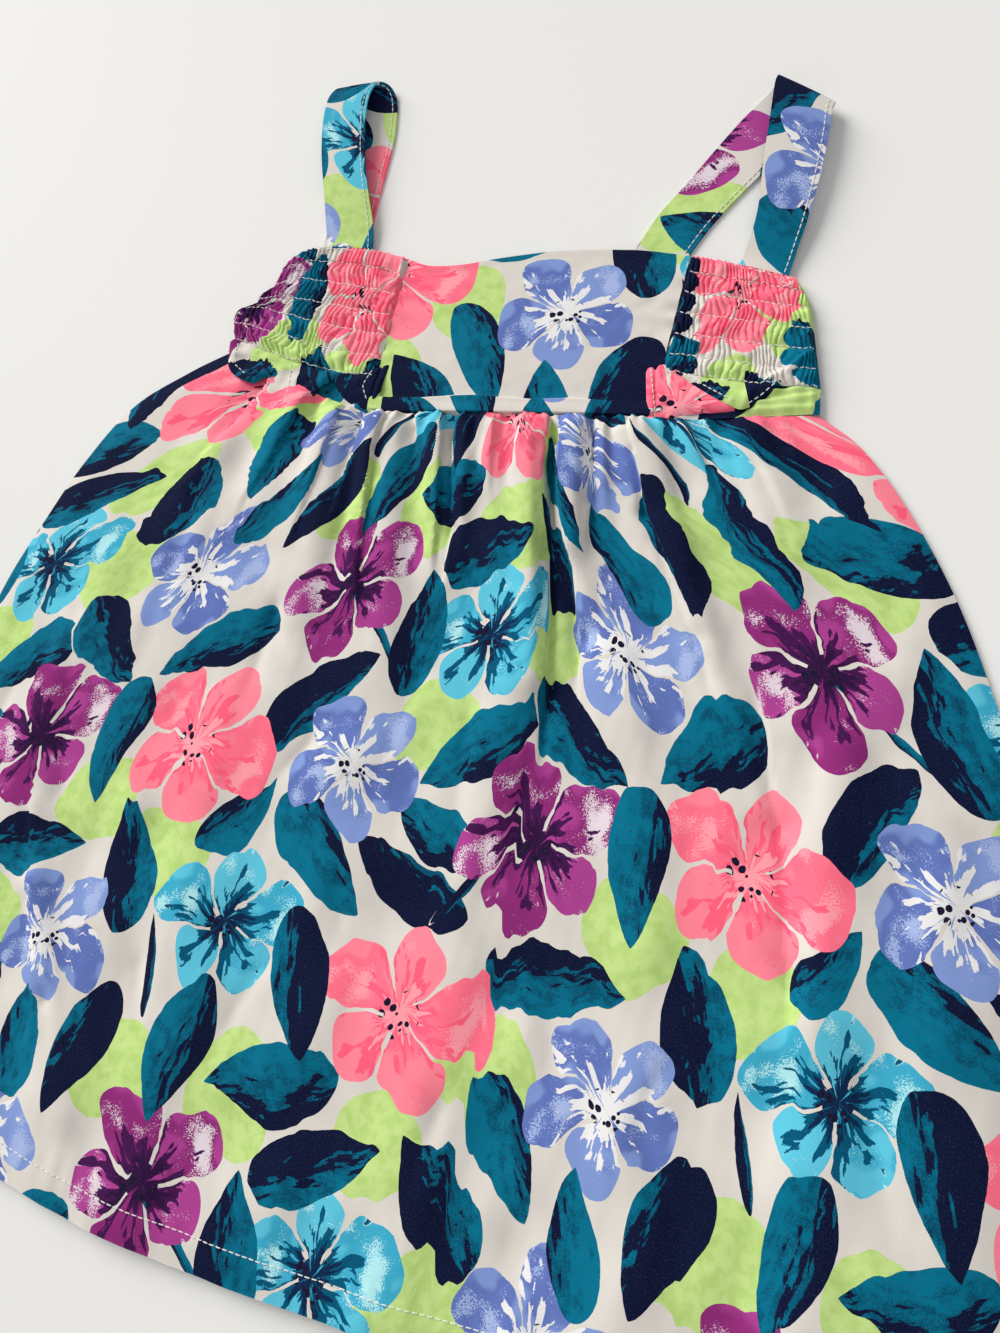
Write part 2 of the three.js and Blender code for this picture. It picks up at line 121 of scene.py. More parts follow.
# Ridges of a table: ends, half widths, heights and lean (plus makes the right side steep)
def ridges(folds, x, y, tallest):
    height = np.zeros_like(x)
    for x0, y0, x1, y1, w0, w1, rise, end, lean in folds:
        s, side, away = alongFold(x, y, x0, y0, x1, y1)
        wide = lerp(w0, w1, s)
        wide = wide * (1 - lean * np.tanh(1.5 * side / wide))
        height += lerp(rise, end, ease(s, 0, 1)) * np.exp(-(away / wide) ** 2)
    return tallest * np.tanh(height / tallest)


# Sharp creases: ends, half width and depth at the start and the end
def creases(table, x, y):
    depth = np.zeros_like(x)
    for x0, y0, x1, y1, wide, start, end in table:
        s, _, away = alongFold(x, y, x0, y0, x1, y1)
        depth += lerp(start, end, s) * np.exp(-np.sqrt(1 + (away / wide) ** 2) + 1)
    return depth


# Signed distance to a line of several points and the share of its length at the nearest point
def alongLine(x, y, line):
    spans = [math.dist(line[k], line[k + 1]) for k in range(len(line) - 1)]
    total, passed = sum(spans), 0.0
    nearest = np.full_like(x, 1e9)
    sideways, share = np.zeros_like(x), np.zeros_like(x)
    for k, span in enumerate(spans):
        s, side, away = alongFold(x, y, *line[k], *line[k + 1])
        closer = away < nearest
        nearest = np.where(closer, away, nearest)
        sideways = np.where(closer, np.copysign(away, side), sideways)
        share = np.where(closer, (passed + s * span) / total, share)
        passed += span
    return sideways, share


pleatShape = {
    "dying": 0.8,  # share of its length from which a pleat dies down
    "drop": 0.9,  # width of the steep side behind the edge
    "opening": 0.75,  # share of its length from which the steep side opens
    "overhang": 0.32, "edge": 1.3,  # push of the edge as a share of the height, and its width
    "gathered": 0.15, "jump": 0.7,  # where the hidden cloth starts to run out, width of its jump
}


# Pleats: a soft slope up to an edge and a steep drop behind it, which hides some cloth.
# Gives the rise, the sideways push that hangs the edge over, and the cloth hidden so far.
def pleated(table, x, y):
    shape = pleatShape
    rise, push, hidden = np.zeros_like(x), np.zeros_like(x), np.zeros_like(x)
    for line, facing, slope, start, end, cloth in table:
        sideways, share = alongLine(x, y, line)
        height = lerp(start, end, ease(share, 0, 1)) * ease(share, 1.001, shape["dying"])
        behind = sideways * facing
        drop = lerp(shape["drop"], slope * 0.5, ease(share, shape["opening"], 1))
        rise += height * np.exp(-(behind / np.where(behind < 0, slope, drop)) ** 2)
        push += facing * shape["overhang"] * height * np.exp(-(behind / shape["edge"]) ** 2)
        left = 1 - ease(share, shape["gathered"], 1)
        hidden += cloth * left * 0.5 * np.tanh(sideways / shape["jump"])
    return rise, push, hidden


# Shares across and down a grid of cloth
def shares(columns, rows):
    return np.meshgrid(np.linspace(0, 1, columns), np.linspace(0, 1, rows))


# A grid of garment places, rows from the top down, made into a sheet of cloth for a node
def clothSheet(node, places, flat, thickness=garment["thickness"]):
    rows, columns = places.shape[:2]
    bpy.ops.object.select_all(action="DESELECT")
    bpy.ops.mesh.primitive_grid_add(x_subdivisions=columns - 1, y_subdivisions=rows - 1, size=1)
    piece = bpy.context.object
    piece.name = piece.data.name = f"{node}_cloth"
    mesh = piece.data
    metres = places[::-1].reshape(-1, 3) / 1000
    metres[:, :2] += garment["middle"]
    mesh.vertices.foreach_set("co", metres.ravel())
    corner = np.zeros(len(mesh.loops), int)
    mesh.loops.foreach_get("vertex_index", corner)
    layer = mesh.uv_layers.active
    layer.data.foreach_set("uv", (flat[::-1].reshape(-1, 2) / 1000)[corner].ravel())
    layer.name = "cloth"
    mesh.update()
    wall = piece.modifiers.new("wall", "SOLIDIFY")
    wall.thickness = thickness / 1000
    wall.offset = -1
    bpy.ops.object.modifier_apply(modifier=wall.name)
    bpy.ops.object.shade_smooth_by_angle(angle=math.radians(60))
    mesh.materials.clear()
    mesh.materials.append(printCloth)
    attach(piece, "root")
    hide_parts(node)
    width, height = [float(np.linalg.norm(np.diff(places, axis=k), axis=-1).sum(axis=k).max()) / 1000
                     for k in (1, 0)]
    area = min(clothArea(places), width * height)
    print(f"{piece.name}: cut {width * 1000:.0f} x {height * 1000:.0f} mm, {area * 1e4:.0f} cm2")
    return piece


# Flat cloth measures of a laid grid: widths add up from the middle column, lengths from the top.
# The rows above the steady one keep its widths, so the print runs straight into the gathers.
def flatCloth(places, origin, turn=0.0, stretch=1.0, hidden=None, steady=0):
    step = np.diff(places, axis=1)
    width = np.concatenate([np.zeros((len(places), 1)),
                            np.cumsum(np.hypot(step[..., 0], step[..., 2]), axis=1)], axis=1)
    width[:steady] = width[steady]
    middle = places.shape[1] // 2
    u = (width - width[:, middle:middle + 1]) * stretch + places[:, middle:middle + 1, 0]
    fall = np.diff(places, axis=0)
    length = np.concatenate([np.zeros((1, places.shape[1])),
                             np.cumsum(np.hypot(fall[..., 1], fall[..., 2]), axis=0)], axis=0)
    v = places[:1, :, 1] - length
    if hidden is not None:
        u = u + hidden
    c, s = math.cos(turn), math.sin(turn)
    return np.stack([u * c - v * s + origin[0], u * s + v * c + origin[1]], axis=-1)


def clothArea(places):
    a = places[1:, :-1] - places[:-1, :-1]
    b = places[:-1, 1:] - places[:-1, :-1]
    return float(np.linalg.norm(np.cross(a, b), axis=-1).sum()) / 1e6


# A new material and a function that puts nodes in it: each input is a value, a link or None
def newMaterial(name):
    material = bpy.data.materials.new(name)
    material.use_nodes = True
    tree = material.node_tree
    tree.nodes.clear()

    def put(kind, *inputs, named=None, out=0, **settings):
        node = tree.nodes.new("ShaderNode" + kind)
        for key, value in settings.items():
            setattr(node, key, value)
        pairs = list(zip(node.inputs, inputs))
        pairs += [(node.inputs[key], value) for key, value in (named or {}).items()]
        for socket, value in pairs:
            if isinstance(value, bpy.types.NodeSocket):
                tree.links.new(value, socket)
            elif value is not None:
                socket.default_value = value
        return node.outputs[out] if len(node.outputs) else node

    return material, put


def mixColours(put, share, a, b):
    return put("Mix", share, None, None, None, None, None, a, b, data_type="RGBA", out=2)


# Height gives the relief, in metres
def finishMaterial(put, colour, roughness, shine, height=None, bumpStrength=0.0, bumpDepth=0.0):
    look = {"Base Color": colour, "Roughness": roughness, "Specular IOR Level": shine}
    if height is not None:
        look["Normal"] = put("Bump", named={"Strength": bumpStrength, "Distance": bumpDepth,
                                            "Height": height})
    put("OutputMaterial", put("BsdfPrincipled", named=look))


def makePrint():
    look = {
        "tile": 0.24,  # the print repeats after this, in metres
        "wobble": 0.0011,  # ragged edges of the paint
        "drift": 0.0075,  # slow bending of the motifs
        "ground": (0.685, 0.645, 0.595, 1), "crown": (0.80, 0.78, 0.74, 1),
        "lime": (0.540, 0.720, 0.255, 1), "limeDeep": (0.450, 0.635, 0.190, 1),
        "teal": (0.0, 0.150, 0.250, 1), "tealDeep": (0.0, 0.068, 0.130, 1),
        "navy": (0.0035, 0.0070, 0.0340, 1), "dot": (0.010, 0.007, 0.030, 1),
        "petals": 5, "dotScale": 9.5, "dotSize": 0.40, "dotReach": 0.22,
    }
    # each in coral, purple, periwinkle and aqua
    paints = {
        "base": [(1.0, 0.235, 0.310), (0.390, 0.050, 0.265), (0.210, 0.300, 0.620),
                 (0.105, 0.530, 0.700)],
        "deep": [(1.0, 0.165, 0.255), (0.265, 0.024, 0.175), (0.115, 0.170, 0.460),
                 (0.045, 0.390, 0.570)],
        "pale": [(1.0, 0.33, 0.39), (0.74, 0.63, 0.69), (0.36, 0.45, 0.73), (0.42, 0.76, 0.80)],
        "stroke": [(1.0, 0.120, 0.210), (0.055, 0.007, 0.070), (0.78, 0.77, 0.77),
                   (0.000, 0.085, 0.170)],
        "star": [(1.0, 0.34, 0.40), (0.028, 0.005, 0.045), (0.78, 0.77, 0.77), (0.003, 0.020, 0.070)],
    }
    # x, y, radius, turn, kind: 0 coral, 1 purple, 2 periwinkle, 3 aqua
    flowers = [
        (30, 30, 39, 10, 0), (113, 20, 32, 55, 2), (190, 42, 35, 20, 3),
        (68, 100, 37, 40, 1), (150, 108, 40, 0, 0), (226, 114, 33, 65, 2),
        (22, 178, 35, 30, 3), (104, 180, 33, 15, 2), (184, 184, 37, 50, 1),
    ]
    # x, y, length, width, turn, share of navy
    leaves = [
        (226, 232, 58, 29, 198, 0.4), (60, 213, 56, 29, 129, 0.7), (36, 133, 57, 29, 216, 0.3),
        (142, 224, 57, 28, 255, 0.9), (86, 55, 56, 28, 12, 0.5), (221, 77, 58, 29, 325, 0.2),
        (139, 55, 56, 28, 111, 0.6), (134, 150, 56, 29, 219, 0.35), (196, 137, 56, 28, 54, 0.8),
        (80, 238, 54, 26, 303, 0.25), (77, 143, 58, 30, 318, 0.55), (21, 78, 58, 26, 158, 0.95),
        (28, 100, 42, 22, 161, 0.4), (182, 83, 44, 21, 53, 0.3), (162, 19, 40, 5, 102, 0.8),
        (48, 90, 60, 4, 62, 0.9), (205, 168, 58, 4, 148, 0.3),
    ]
    leavesOver = [
        (183, 233, 56, 26, 259, 0.45), (10, 212, 54, 26, 27, 0.65), (107, 104, 57, 25, 273, 0.3),
        (228, 30, 57, 28, 288, 0.75), (227, 174, 57, 28, 102, 0.5), (112, 216, 46, 23, 98, 0.2),
    ]
    # x, y
    blobs = [(67, 19), (111, 77), (13, 138), (33, 223), (156, 64), (209, 223), (160, 222), (62, 176)]

    material, put = newMaterial("printCloth")

    def calc(operation, a, b=None, c=None):
        return put("Math", a, b, c, operation=operation)

    def times(a, b):
        return calc("MULTIPLY", a, b)

    def timesPlus(a, b, c):
        return calc("MULTIPLY_ADD", a, b, c)

    def minus(a, b):
        return calc("SUBTRACT", a, b)

    def less(a, b):
        return calc("LESS_THAN", a, b)

    def vector(operation, a, b=None, c=None, out=0):
        return put("VectorMath", a, b, c, operation=operation, out=out)

    def mix(share, a, b):
        return mixColours(put, share, a, b)

    def mixVector(share, a, b):
        return put("Mix", share, None, None, None, a, b, data_type="VECTOR", out=1)

    def noise(place, scale, detail=1.0, rough=0.5, out=0):
        return put("TexNoise", place, None, scale, detail, rough, out=out)

    def step(value, low, high):
        return put("MapRange", value, low, high, 0.0, 1.0, interpolation_type="SMOOTHSTEP")

    def palette(kind, colours):
        output = put("ValToRGB", kind)
        ramp = output.node.color_ramp
        ramp.interpolation = "CONSTANT"
        while len(ramp.elements) < len(colours):
            ramp.elements.new(0.5)
        for k, colour in enumerate(colours):
            ramp.elements[k].position = k / len(colours)
            ramp.elements[k].color = (*colour, 1)
        return output

    cloth = put("UVMap", uv_map="cloth")
    ragged = vector("SUBTRACT", noise(cloth, 120.0, 2.0, 0.6, out=1), (0.5, 0.5, 0.5))
    bent = vector("SUBTRACT", noise(cloth, 26.0, 0.0, 0.5, out=1), (0.5, 0.5, 0.5))
    brushed = vector("MULTIPLY_ADD", ragged, (look["wobble"],) * 2 + (0,), cloth)
    brushed = vector("MULTIPLY_ADD", bent, (look["drift"],) * 2 + (0,), brushed)
    speckle = noise(cloth, 1500.0, 2.0, 0.7)
    blotch = noise(cloth, 170.0, 2.0, 0.6)
    half = look["tile"] / 2

    # the repeat of the print that is nearest to a place
    def repeated(x, y):
        return vector("WRAP", brushed, (x + half, y + half, 1), (x - half, y - half, -1))

    # each motif's own coordinates, its share or kind in z; a later motif lies over an earlier one
    def gather(motifs):
        chosen = (9, 9, 0)
        for x, y, length, width, turn, share in motifs:
            x, y = x / 1000, y / 1000
            own = put("Mapping", repeated(x, y), (x, y, -0.01 * share), (0, 0, math.radians(turn)),
                      (length / 2000, width / 2000, 1), vector_type="TEXTURE")
            chosen = mixVector(less(vector("LENGTH", own, out=1), 1.0), chosen, own)
        parts = put("SeparateXYZ", chosen).node
        return chosen, parts.outputs[0], parts.outputs[1], times(parts.outputs[2], 100.0)

    # lime washes under everything
    nearest = 1.0
    for x, y in blobs:
        x, y = x / 1000, y / 1000
        nearest = calc("MINIMUM", nearest, vector("DISTANCE", repeated(x, y), (x, y, 0), out=1))
    lime = mix(step(blotch, 0.38, 0.66), look["lime"], look["limeDeep"])
    limeEdge = timesPlus(noise(cloth, 24.0, 0.0), 0.016, 0.0115)
    colour = mix(less(nearest, limeEdge), look["ground"], lime)

    # leaves: part teal, part navy, the two brushed into each other along the leaf
    def paintLeaves(colour, motifs):
        _, along, straight, share = gather(motifs)
        bow = timesPlus(calc("FRACT", times(share, 7.3)), 0.52, -0.26)
        across = timesPlus(times(along, along), bow, straight)
        veins = timesPlus(calc("ABSOLUTE", across), -0.55, along)
        spikes = noise(put("CombineXYZ", times(veins, 1.5), times(across, 2.6), times(share, 40.0)),
                       1.5, 2.0, 0.6)
        tip = calc("POWER", calc("MAXIMUM", minus(0.96, along), 0.0), 0.85)
        edge = times(times(calc("SQRT", calc("ADD", along, 0.96)), 0.94), tip)
        inside = less(calc("ABSOLUTE", across), edge)
        lean = timesPlus(minus(spikes, 0.5), 2.9, across)
        lean = minus(lean, timesPlus(share, -1.7, 0.95))
        navy = step(timesPlus(minus(speckle, 0.5), 0.35, lean), -0.02, 0.03)
        shade = timesPlus(lean, 0.16, timesPlus(blotch, 0.60, times(speckle, 0.85)))
        teal = mix(step(shade, 0.60, 0.74), look["teal"], look["tealDeep"])
        return mix(inside, colour, mix(navy, teal, look["navy"]))

    colour = paintLeaves(colour, leaves)

    # flowers
    own, ownX, ownY, share = gather([(x, y, 2 * r, 2 * r, turn, (kind + 0.5) / 4)
                                     for x, y, r, turn, kind in flowers])
    radius = vector("LENGTH", vector("MULTIPLY", own, (1, 1, 0)), out=1)
    angle = calc("ARCTAN2", ownY, ownX)
    petal = calc("ROUND", times(angle, look["petals"] / math.tau))
    lobes = calc("ABSOLUTE", calc("COSINE", times(angle, look["petals"] / 2)))
    different = calc("SINE", timesPlus(share, 17.0, times(petal, 2.3)))
    edge = timesPlus(calc("POWER", lobes, 0.30), 0.56, timesPlus(noise(own, 1.6, 0.0), 0.50, 0.06))
    edge = timesPlus(different, 0.07, edge)
    inside = less(radius, calc("MINIMUM", edge, 0.995))

    base, deep, pale, stroke, star = [palette(share, colours) for colours in paints.values()]
    petalPlace = put("CombineXYZ", times(angle, 1.5), times(radius, 0.9),
                     timesPlus(share, 9.0, times(petal, 0.7)))
    rays = noise(petalPlace, 2.6, 2.0, 0.65)
    washes = noise(own, 2.1, 1.0)
    paint = mix(step(timesPlus(different, 0.16, washes), 0.47, 0.56), base, deep)
    dry = timesPlus(speckle, 0.55, timesPlus(blotch, 0.25, washes))
    paint = mix(times(step(dry, 1.00, 1.04), step(radius, 0.30, 0.45)), paint, pale)
    paint = mix(times(step(rays, 0.655, 0.675), step(radius, 0.2, 0.3)), paint, pale)
    brush = timesPlus(speckle, 0.10, rays)
    paint = mix(less(radius, timesPlus(brush, 2.1, -0.78)), paint, stroke)
    paint = mix(less(radius, timesPlus(rays, 1.1, -0.36)), paint, star)
    dots = put("TexVoronoi", own, None, look["dotScale"], feature="F1", distance="EUCLIDEAN")
    paint = mix(times(less(dots, look["dotSize"]), less(radius, look["dotReach"])), paint, look["dot"])
    sliver = less(times(lobes, radius), timesPlus(rays, 0.34, -0.135))
    sliver = times(sliver, calc("GREATER_THAN", radius, 0.16))
    colour = mix(times(inside, minus(1.0, sliver)), colour, paint)

    colour = paintLeaves(colour, leavesOver)

    # plain weave in relief, and paler thread crowns
    threads = noise(cloth, 2600.0, 1.0)
    grain = noise(vector("MULTIPLY", cloth, (1.0, 3.0, 1.0)), 700.0, 1.0)
    shown = mix(times(step(speckle, 0.5, 0.8), 0.035), colour, look["crown"])
    finishMaterial(put, shown, 0.88, 0.06, timesPlus(grain, 0.5, threads), 0.25, 0.0002)
    return material


# A plain colour, with a finer grain where its scale is given
def plainMaterial(name, colour, roughness, grainScale=None):
    material, put = newMaterial(name)
    shine = 0.2
    if grainScale is None:
        finishMaterial(put, colour, roughness, shine)
    else:
        grain = put("TexNoise", put("TexCoord", out="Object"), None, grainScale, 2.0)
        darker = tuple(0.86 * c for c in colour[:3]) + (1,)
        finishMaterial(put, mixColours(put, grain, colour, darker), roughness, shine, grain, 0.4, 0.0001)
    return material


printCloth = makePrint()
threadMaterial = plainMaterial("whiteThread", (0.80, 0.78, 0.74, 1), 0.7, 2500.0)
print("printed cotton ready")


waistSeam = curve([(-135, 18), (-98, 6), (-60, -3), (-20, 0), (28, 5), (60, 8), (92, 12), (125, 18)])
hemLine = curve([(-236, -318), (-160, -331.5), (-75, -342), (20, -342), (118, -336), (232, -322)])
bodiceTop = curve([(-119, 64), (-110, 71.5), (-98, 74), (-78, 74), (-60, 71), (-50, 68.5),
                   (-36, 70), (-15, 75.5), (10, 80.5), (40, 83), (62, 82), (82, 79.5), (107, 75)])
seamSpread = curve([(0, -135), (0.18, -60), (0.82, 60), (1, 125)])
hemSpread = curve([(0, -236), (0.18, -150), (0.82, 148), (1, 232)])
leftSide = curve([(0, -135), (0.03, -150), (0.09, -174), (0.18, -191), (0.27, -202),
                  (0.37, -212), (0.6, -225), (1, -236)])
rightSide = curve([(0, 125), (0.03, 141), (0.09, 160), (0.18, 181), (0.27, 197), (0.37, 211),
                   (0.6, 222), (1, 232)])


# A place on the skirt: across and down are shares of its cloth
def skirtPlace(across, down):
    seamX, hemX = seamSpread(across), hemSpread(across)
    x = (lerp(seamX, hemX, down)
         + (1 - across) * (leftSide(down) - lerp(-135, -236, down))
         + across * (rightSide(down) - lerp(125, 232, down)))
    return x, lerp(waistSeam(seamX), hemLine(hemX), down)


skirt = {
    "columns": 280, "rows": 146, "rowCrowding": 1.6, "steadyRow": 24,
    "puff": 2.2, "puffGrows": 60, "puffFades": 0.6,  # air under the middle of the skirt
    "tallest": 8.5,
    "foldGain": 1.25, "creaseGain": 1.8, "pleatGain": 1.3,
    "settled": 7.5, "spare": 4.0,  # cloth higher than this sinks to at most so much above it
    "rim": 0.06, "sideLow": 1.4, "sideRoll": 0.022, "hemSink": 0.9, "lowest": 1.3,
    "seamPinch": 8, "seamShare": 0.42,
    "hemWidth": 13, "hemStep": 0.35,
    "soft": [(0.75, 52, 3), (0.34, 21, 8), (0.08, 8, 21)],  # height, size and seed of unevenness
    # ends, half widths, heights, lean
    "folds": [
        (-46, 0, -19, -140, 8, 14, 5.2, 1.2, 0.2), (-26, 0, -3, -84, 4.5, 8, 4.4, 0.8, 0.3),
        (-14.5, 1, -2, -64, 3, 5, 4.2, 0.5, 0.2), (-4, 2, 18, -86, 5.5, 11, 4.6, 1, 0.3),
        (10, 4, 38, -104, 5, 8, 5.4, 2.8, 0.45), (30, 5, 40, -46, 5, 5.5, 6.4, 4, 0.35),
        (40, -46, 44, -70, 5.5, 5, 3.2, 0.2, 0.2), (41, 6, 56, -54, 3, 5, 3.4, 0.4, 0.3),
        (51, 8, 72, -50, 5, 9, 5.2, 0.8, 0.35), (60, 2, 124, -133, 5, 11, 3.8, 1.4, 0.2),
        (-69, -8, -67, -133, 8, 16, 4.6, 1.2, 0.2), (-90, 0, -104, -120, 9, 18, 2.6, 1, 0),
        (-124, -30, -134, -163, 12, 18, 3.0, 1.2, 0.2), (96, 4, 150, -110, 10, 18, 2.4, 0.8, 0),
        (-160, -90, -186, -300, 12, 24, 2.2, 2.6, 0), (-148, -226, -106, -306, 8, 10, 1.8, 1.6, 0.3),
        (-88, -140, -72, -338, 14, 22, 1.8, 2.4, 0), (-30, -150, -14, -338, 14, 22, 1.6, 2, 0),
        (30, -106, 36, -338, 9, 20, 2.2, 2.2, 0.2), (96, -160, 118, -332, 10, 20, 1.8, 2.4, 0),
        (152, -110, 174, -322, 9, 20, 2.6, 2.4, -0.3), (70, -90, 88, -150, 9, 14, 2.0, 1.2, 0.2),
        (-112, -190, -104, -320, 10, 16, 1.8, 2, 0.2), (190, -130, 222, -300, 12, 18, 1.8, 1.8, 0),
    ],
    # ends, half width, depth at both ends
    "creases": [
        (-59, -6, -55, -88, 2.2, 2.2, 0), (-33, -9, -22, -39, 1.6, 1.8, 0),
        (-18, -2, -7, -50, 1.3, 2.2, 1.0), (-7, -50, -2, -79, 1.6, 1.0, 0),
        (3, 2, 15, -12, 1.1, 1.2, 0.4), (35, -48, 53, -85, 2.6, 2.6, 2.0),
        (23, -10, 32, -50, 1.8, 2.0, 2.8), (32, -50, 44, -108, 3.0, 3.4, 1.0),
        (53, -85, 64, -130, 3.0, 2.0, 0), (37, 4, 44, -29, 1.2, 2.0, 1.4),
        (44, -29, 54, -53, 1.5, 1.4, 0), (58, -8, 67, -32, 1.5, 1.6, 1.2),
        (67, -32, 97, -78, 2.0, 1.3, 0.8), (97, -78, 124, -133, 2.4, 0.9, 0.3),
        (-148, -234, -128, -269, 2.4, 1.0, 1.1), (-128, -269, -108, -302, 2.4, 1.1, 0),
        (44, -108, 46, -172, 2.2, 1.4, 0), (117, -88, 139, -140, 2.6, 0.3, 1.0),
        (139, -140, 151, -190, 2.6, 1.0, 1.0), (151, -190, 158, -226, 2.6, 1.0, 0),
        (110, -251, 138, -293, 2.2, 0.9, 0), (-126, -44, -134, -163, 3, 1.2, 0),
        (-169, -113, -150, -188, 2.6, 0.5, 1.0), (110, -240, 116, -226, 1.6, 0.8, 0.3),
        (34, -168, 39, -187, 1.6, 0.7, 0.2), (-76, -95, -80, -164, 2.4, 1.1, 0),
        (-112, 2, -150, -70, 2.6, 1.2, 0), (88, 8, 118, -48, 2.2, 1.1, 0),
        (-84, 0, -80, -40, 1.8, 1.3, 0), (66, -210, 84, -262, 2.6, 0.8, 0),
        (-40, -232, -58, -286, 2.6, 0.8, 0), (-8, -110, -16, -170, 2.8, 0.8, 0),
        (-76, -100, -66, -114, 1.6, 0.9, 0.2), (-45, -146, -57, -166, 1.8, 1.0, 0.2),
        (16, -124, 24, -180, 2.2, 0.8, 0.1), (86, -80, 112, -124, 2.6, 0.8, 0),
        (-20, -196, -10, -214, 1.6, 0.7, 0), (186, -60, 206, -120, 2.6, 0.9, 0),
        (-190, -150, -198, -220, 2.6, 0.9, 0), (176, -214, 196, -268, 2.6, 0.9, 0),
        (40, -262, 34, -306, 2.2, 0.8, 0), (-92, -246, -80, -282, 2.2, 0.8, 0),
    ],
    # edge line, side that it faces (1 right, -1 left), width of its slope, heights, hidden cloth
    "pleats": [
        ([(-25, -2), (-21, -23), (-16, -47), (-11, -80)], 1, 8, 4.2, 1.2, 10),
        ([(-17, 1), (-16, -13), (-8, -46), (-3, -84)], -1, 7, 3.8, 0.9, 9),
        ([(-51, -5), (-52, -22), (-47, -58), (-38, -100)], 1, 8, 4.0, 1.2, 9),
        ([(-58, -8), (-60, -28), (-61, -60)], -1, 5, 3.0, 0.7, 8),
        ([(-35, -3), (-33, -12), (-29, -28)], -1, 5, 2.8, 0.6, 4),
        ([(20, 2), (22, -18), (27, -35), (32, -53), (38, -79), (43, -109), (48, -160)],
         1, 9, 4.4, 1.6, 14),
        ([(28, -11), (33, -30), (39, -47), (45, -60), (53, -86), (62, -122)], -1, 8, 3.4, 2.0, 10),
        ([(34, 5), (39, -5), (44, -28), (48, -60)], 1, 6, 3.6, 0.6, 8),
        ([(55, 4), (62, -15), (70, -33), (81, -51), (98, -80), (118, -112)], -1, 11, 3.0, 1.2, 8),
        ([(9, 1), (13, -6), (16, -11)], 1, 3, 2.0, 1.2, 3),
        ([(17, 1), (16.5, -6), (16, -12)], -1, 3, 2.0, 1.2, 3),
        ([(-3, 1), (0, -14), (5, -40)], 1, 6, 2.2, 0.5, 5),
        ([(-71, -8), (-74, -36), (-78, -74)], 1, 9, 2.8, 0.6, 6),
        ([(-88, 1), (-98, -34), (-110, -70)], 1, 11, 2.4, 0.5, 5),
        ([(-108, 8), (-124, -24), (-140, -60)], -1, 10, 1.9, 0.6, 4),
        ([(74, 8), (88, -14), (104, -40)], 1, 9, 2.2, 0.5, 5),
        ([(96, 12), (114, -16), (130, -44)], -1, 9, 1.9, 0.5, 4),
        ([(-158, -203), (-146, -236), (-132, -270), (-124, -299)], -1, 12, 1.8, 1.6, 4),
        ([(128, -112), (142, -150), (152, -196), (157, -222)], -1, 14, 1.2, 1.2, 3),
    ],
}


# small puckers that start in the seam's stitches; of two entries the first is beyond the middle
puckers = {
    "start": -128.0, "end": 122, "middle": 64, "seed": 5,
    "pitch": ((6, 13), (3.2, 6.5)), "reach": ((8, 28), (9, 38)), "share": (0.7, 1),
    "width": (1.1, 2.0), "height": (1.0, 2.3), "spread": 0.0055, "widening": 0.8,
}


def smallPuckers(x, y):
    draw = random.Random(puckers["seed"])
    rise = np.zeros_like(x)
    place = puckers["start"]
    while place < puckers["end"]:
        inner = abs(place) < puckers["middle"]
        place += draw.uniform(*puckers["pitch"][inner])
        reach = draw.uniform(*puckers["reach"][inner])
        start = float(waistSeam(place))
        end = place * (1 + puckers["spread"] * reach)
        s, _, away = alongFold(x, y, place, start, end, start - reach)
        wide = draw.uniform(*puckers["width"]) * (1 + puckers["widening"] * s)
        high = draw.uniform(*puckers["height"]) * puckers["share"][inner]
        rise += high * (1 - s) * np.exp(-(away / wide) ** 2)
    return rise


def skirtHeight(x, y, across, down, fromSeam, fromHem, pleats):
    inside = np.sin(np.pi * across) ** 0.5
    gathered = lerp(skirt["seamShare"], 1, ease(fromSeam, 0, skirt["seamPinch"]))
    puff = (skirt["puff"] * inside * ease(fromSeam, 0, skirt["puffGrows"])
            * (1 - skirt["puffFades"] * down))
    rim = ease(np.minimum(across, 1 - across), 0, skirt["rim"])
    form = ridges(skirt["folds"], x, y, skirt["tallest"]) * skirt["foldGain"]
    soft = softly(skirt["soft"], x, y)
    hem = skirt["hemStep"] * ease(fromHem, skirt["hemWidth"] + 0.8, skirt["hemWidth"] - 0.4)
    pulled = (0.16 * np.sin(x * 0.9 + 1.4 * np.sin(x * 0.21))
              * np.exp(-((fromHem - skirt["hemWidth"]) / 5) ** 2))
    depth = skirt["creaseGain"] * creases(skirt["creases"], x, y)
    begun = lerp(0.45, 1, ease(fromSeam, 0, 3.5))
    folded = (gathered * form + begun * pleats + smallPuckers(x, y)
              + soft * ease(fromSeam, 0, 30) - depth)
    return garment["frontFace"] + puff + rim * (folded + hem) + pulled


def makeSkirtFront():
    across, down = shares(skirt["columns"] + 1, skirt["rows"] + 1)
    down = down ** skirt["rowCrowding"]
    x, y = skirtPlace(across, down)
    fromSeam, fromHem = waistSeam(x) - y, y - hemLine(x)
    pleats, push, hidden = pleated(skirt["pleats"], x, y)
    z = skirtHeight(x, y, across, down, fromSeam, fromHem, skirt["pleatGain"] * pleats)
    above = np.maximum(z - skirt["settled"], 0)
    z = z - above + skirt["spare"] * np.tanh(above / skirt["spare"])
    # the sides roll down to the back panel, and the hem settles on it
    side = np.minimum(across, 1 - across)
    z = lerp(skirt["sideLow"], z, ease(side, -0.002, skirt["sideRoll"]) ** 0.6)
    z = np.maximum(z - skirt["hemSink"] * ease(fromHem, 9, 0), skirt["lowest"])
    places = np.stack([x + push * ease(fromSeam, 0, 3), y, z], axis=-1)
    flat = flatCloth(places, (12, 30), hidden=skirt["pleatGain"] * hidden, stretch=1.04,
                     steady=skirt["steadyRow"])
    return clothSheet("skirt_front", places, flat)


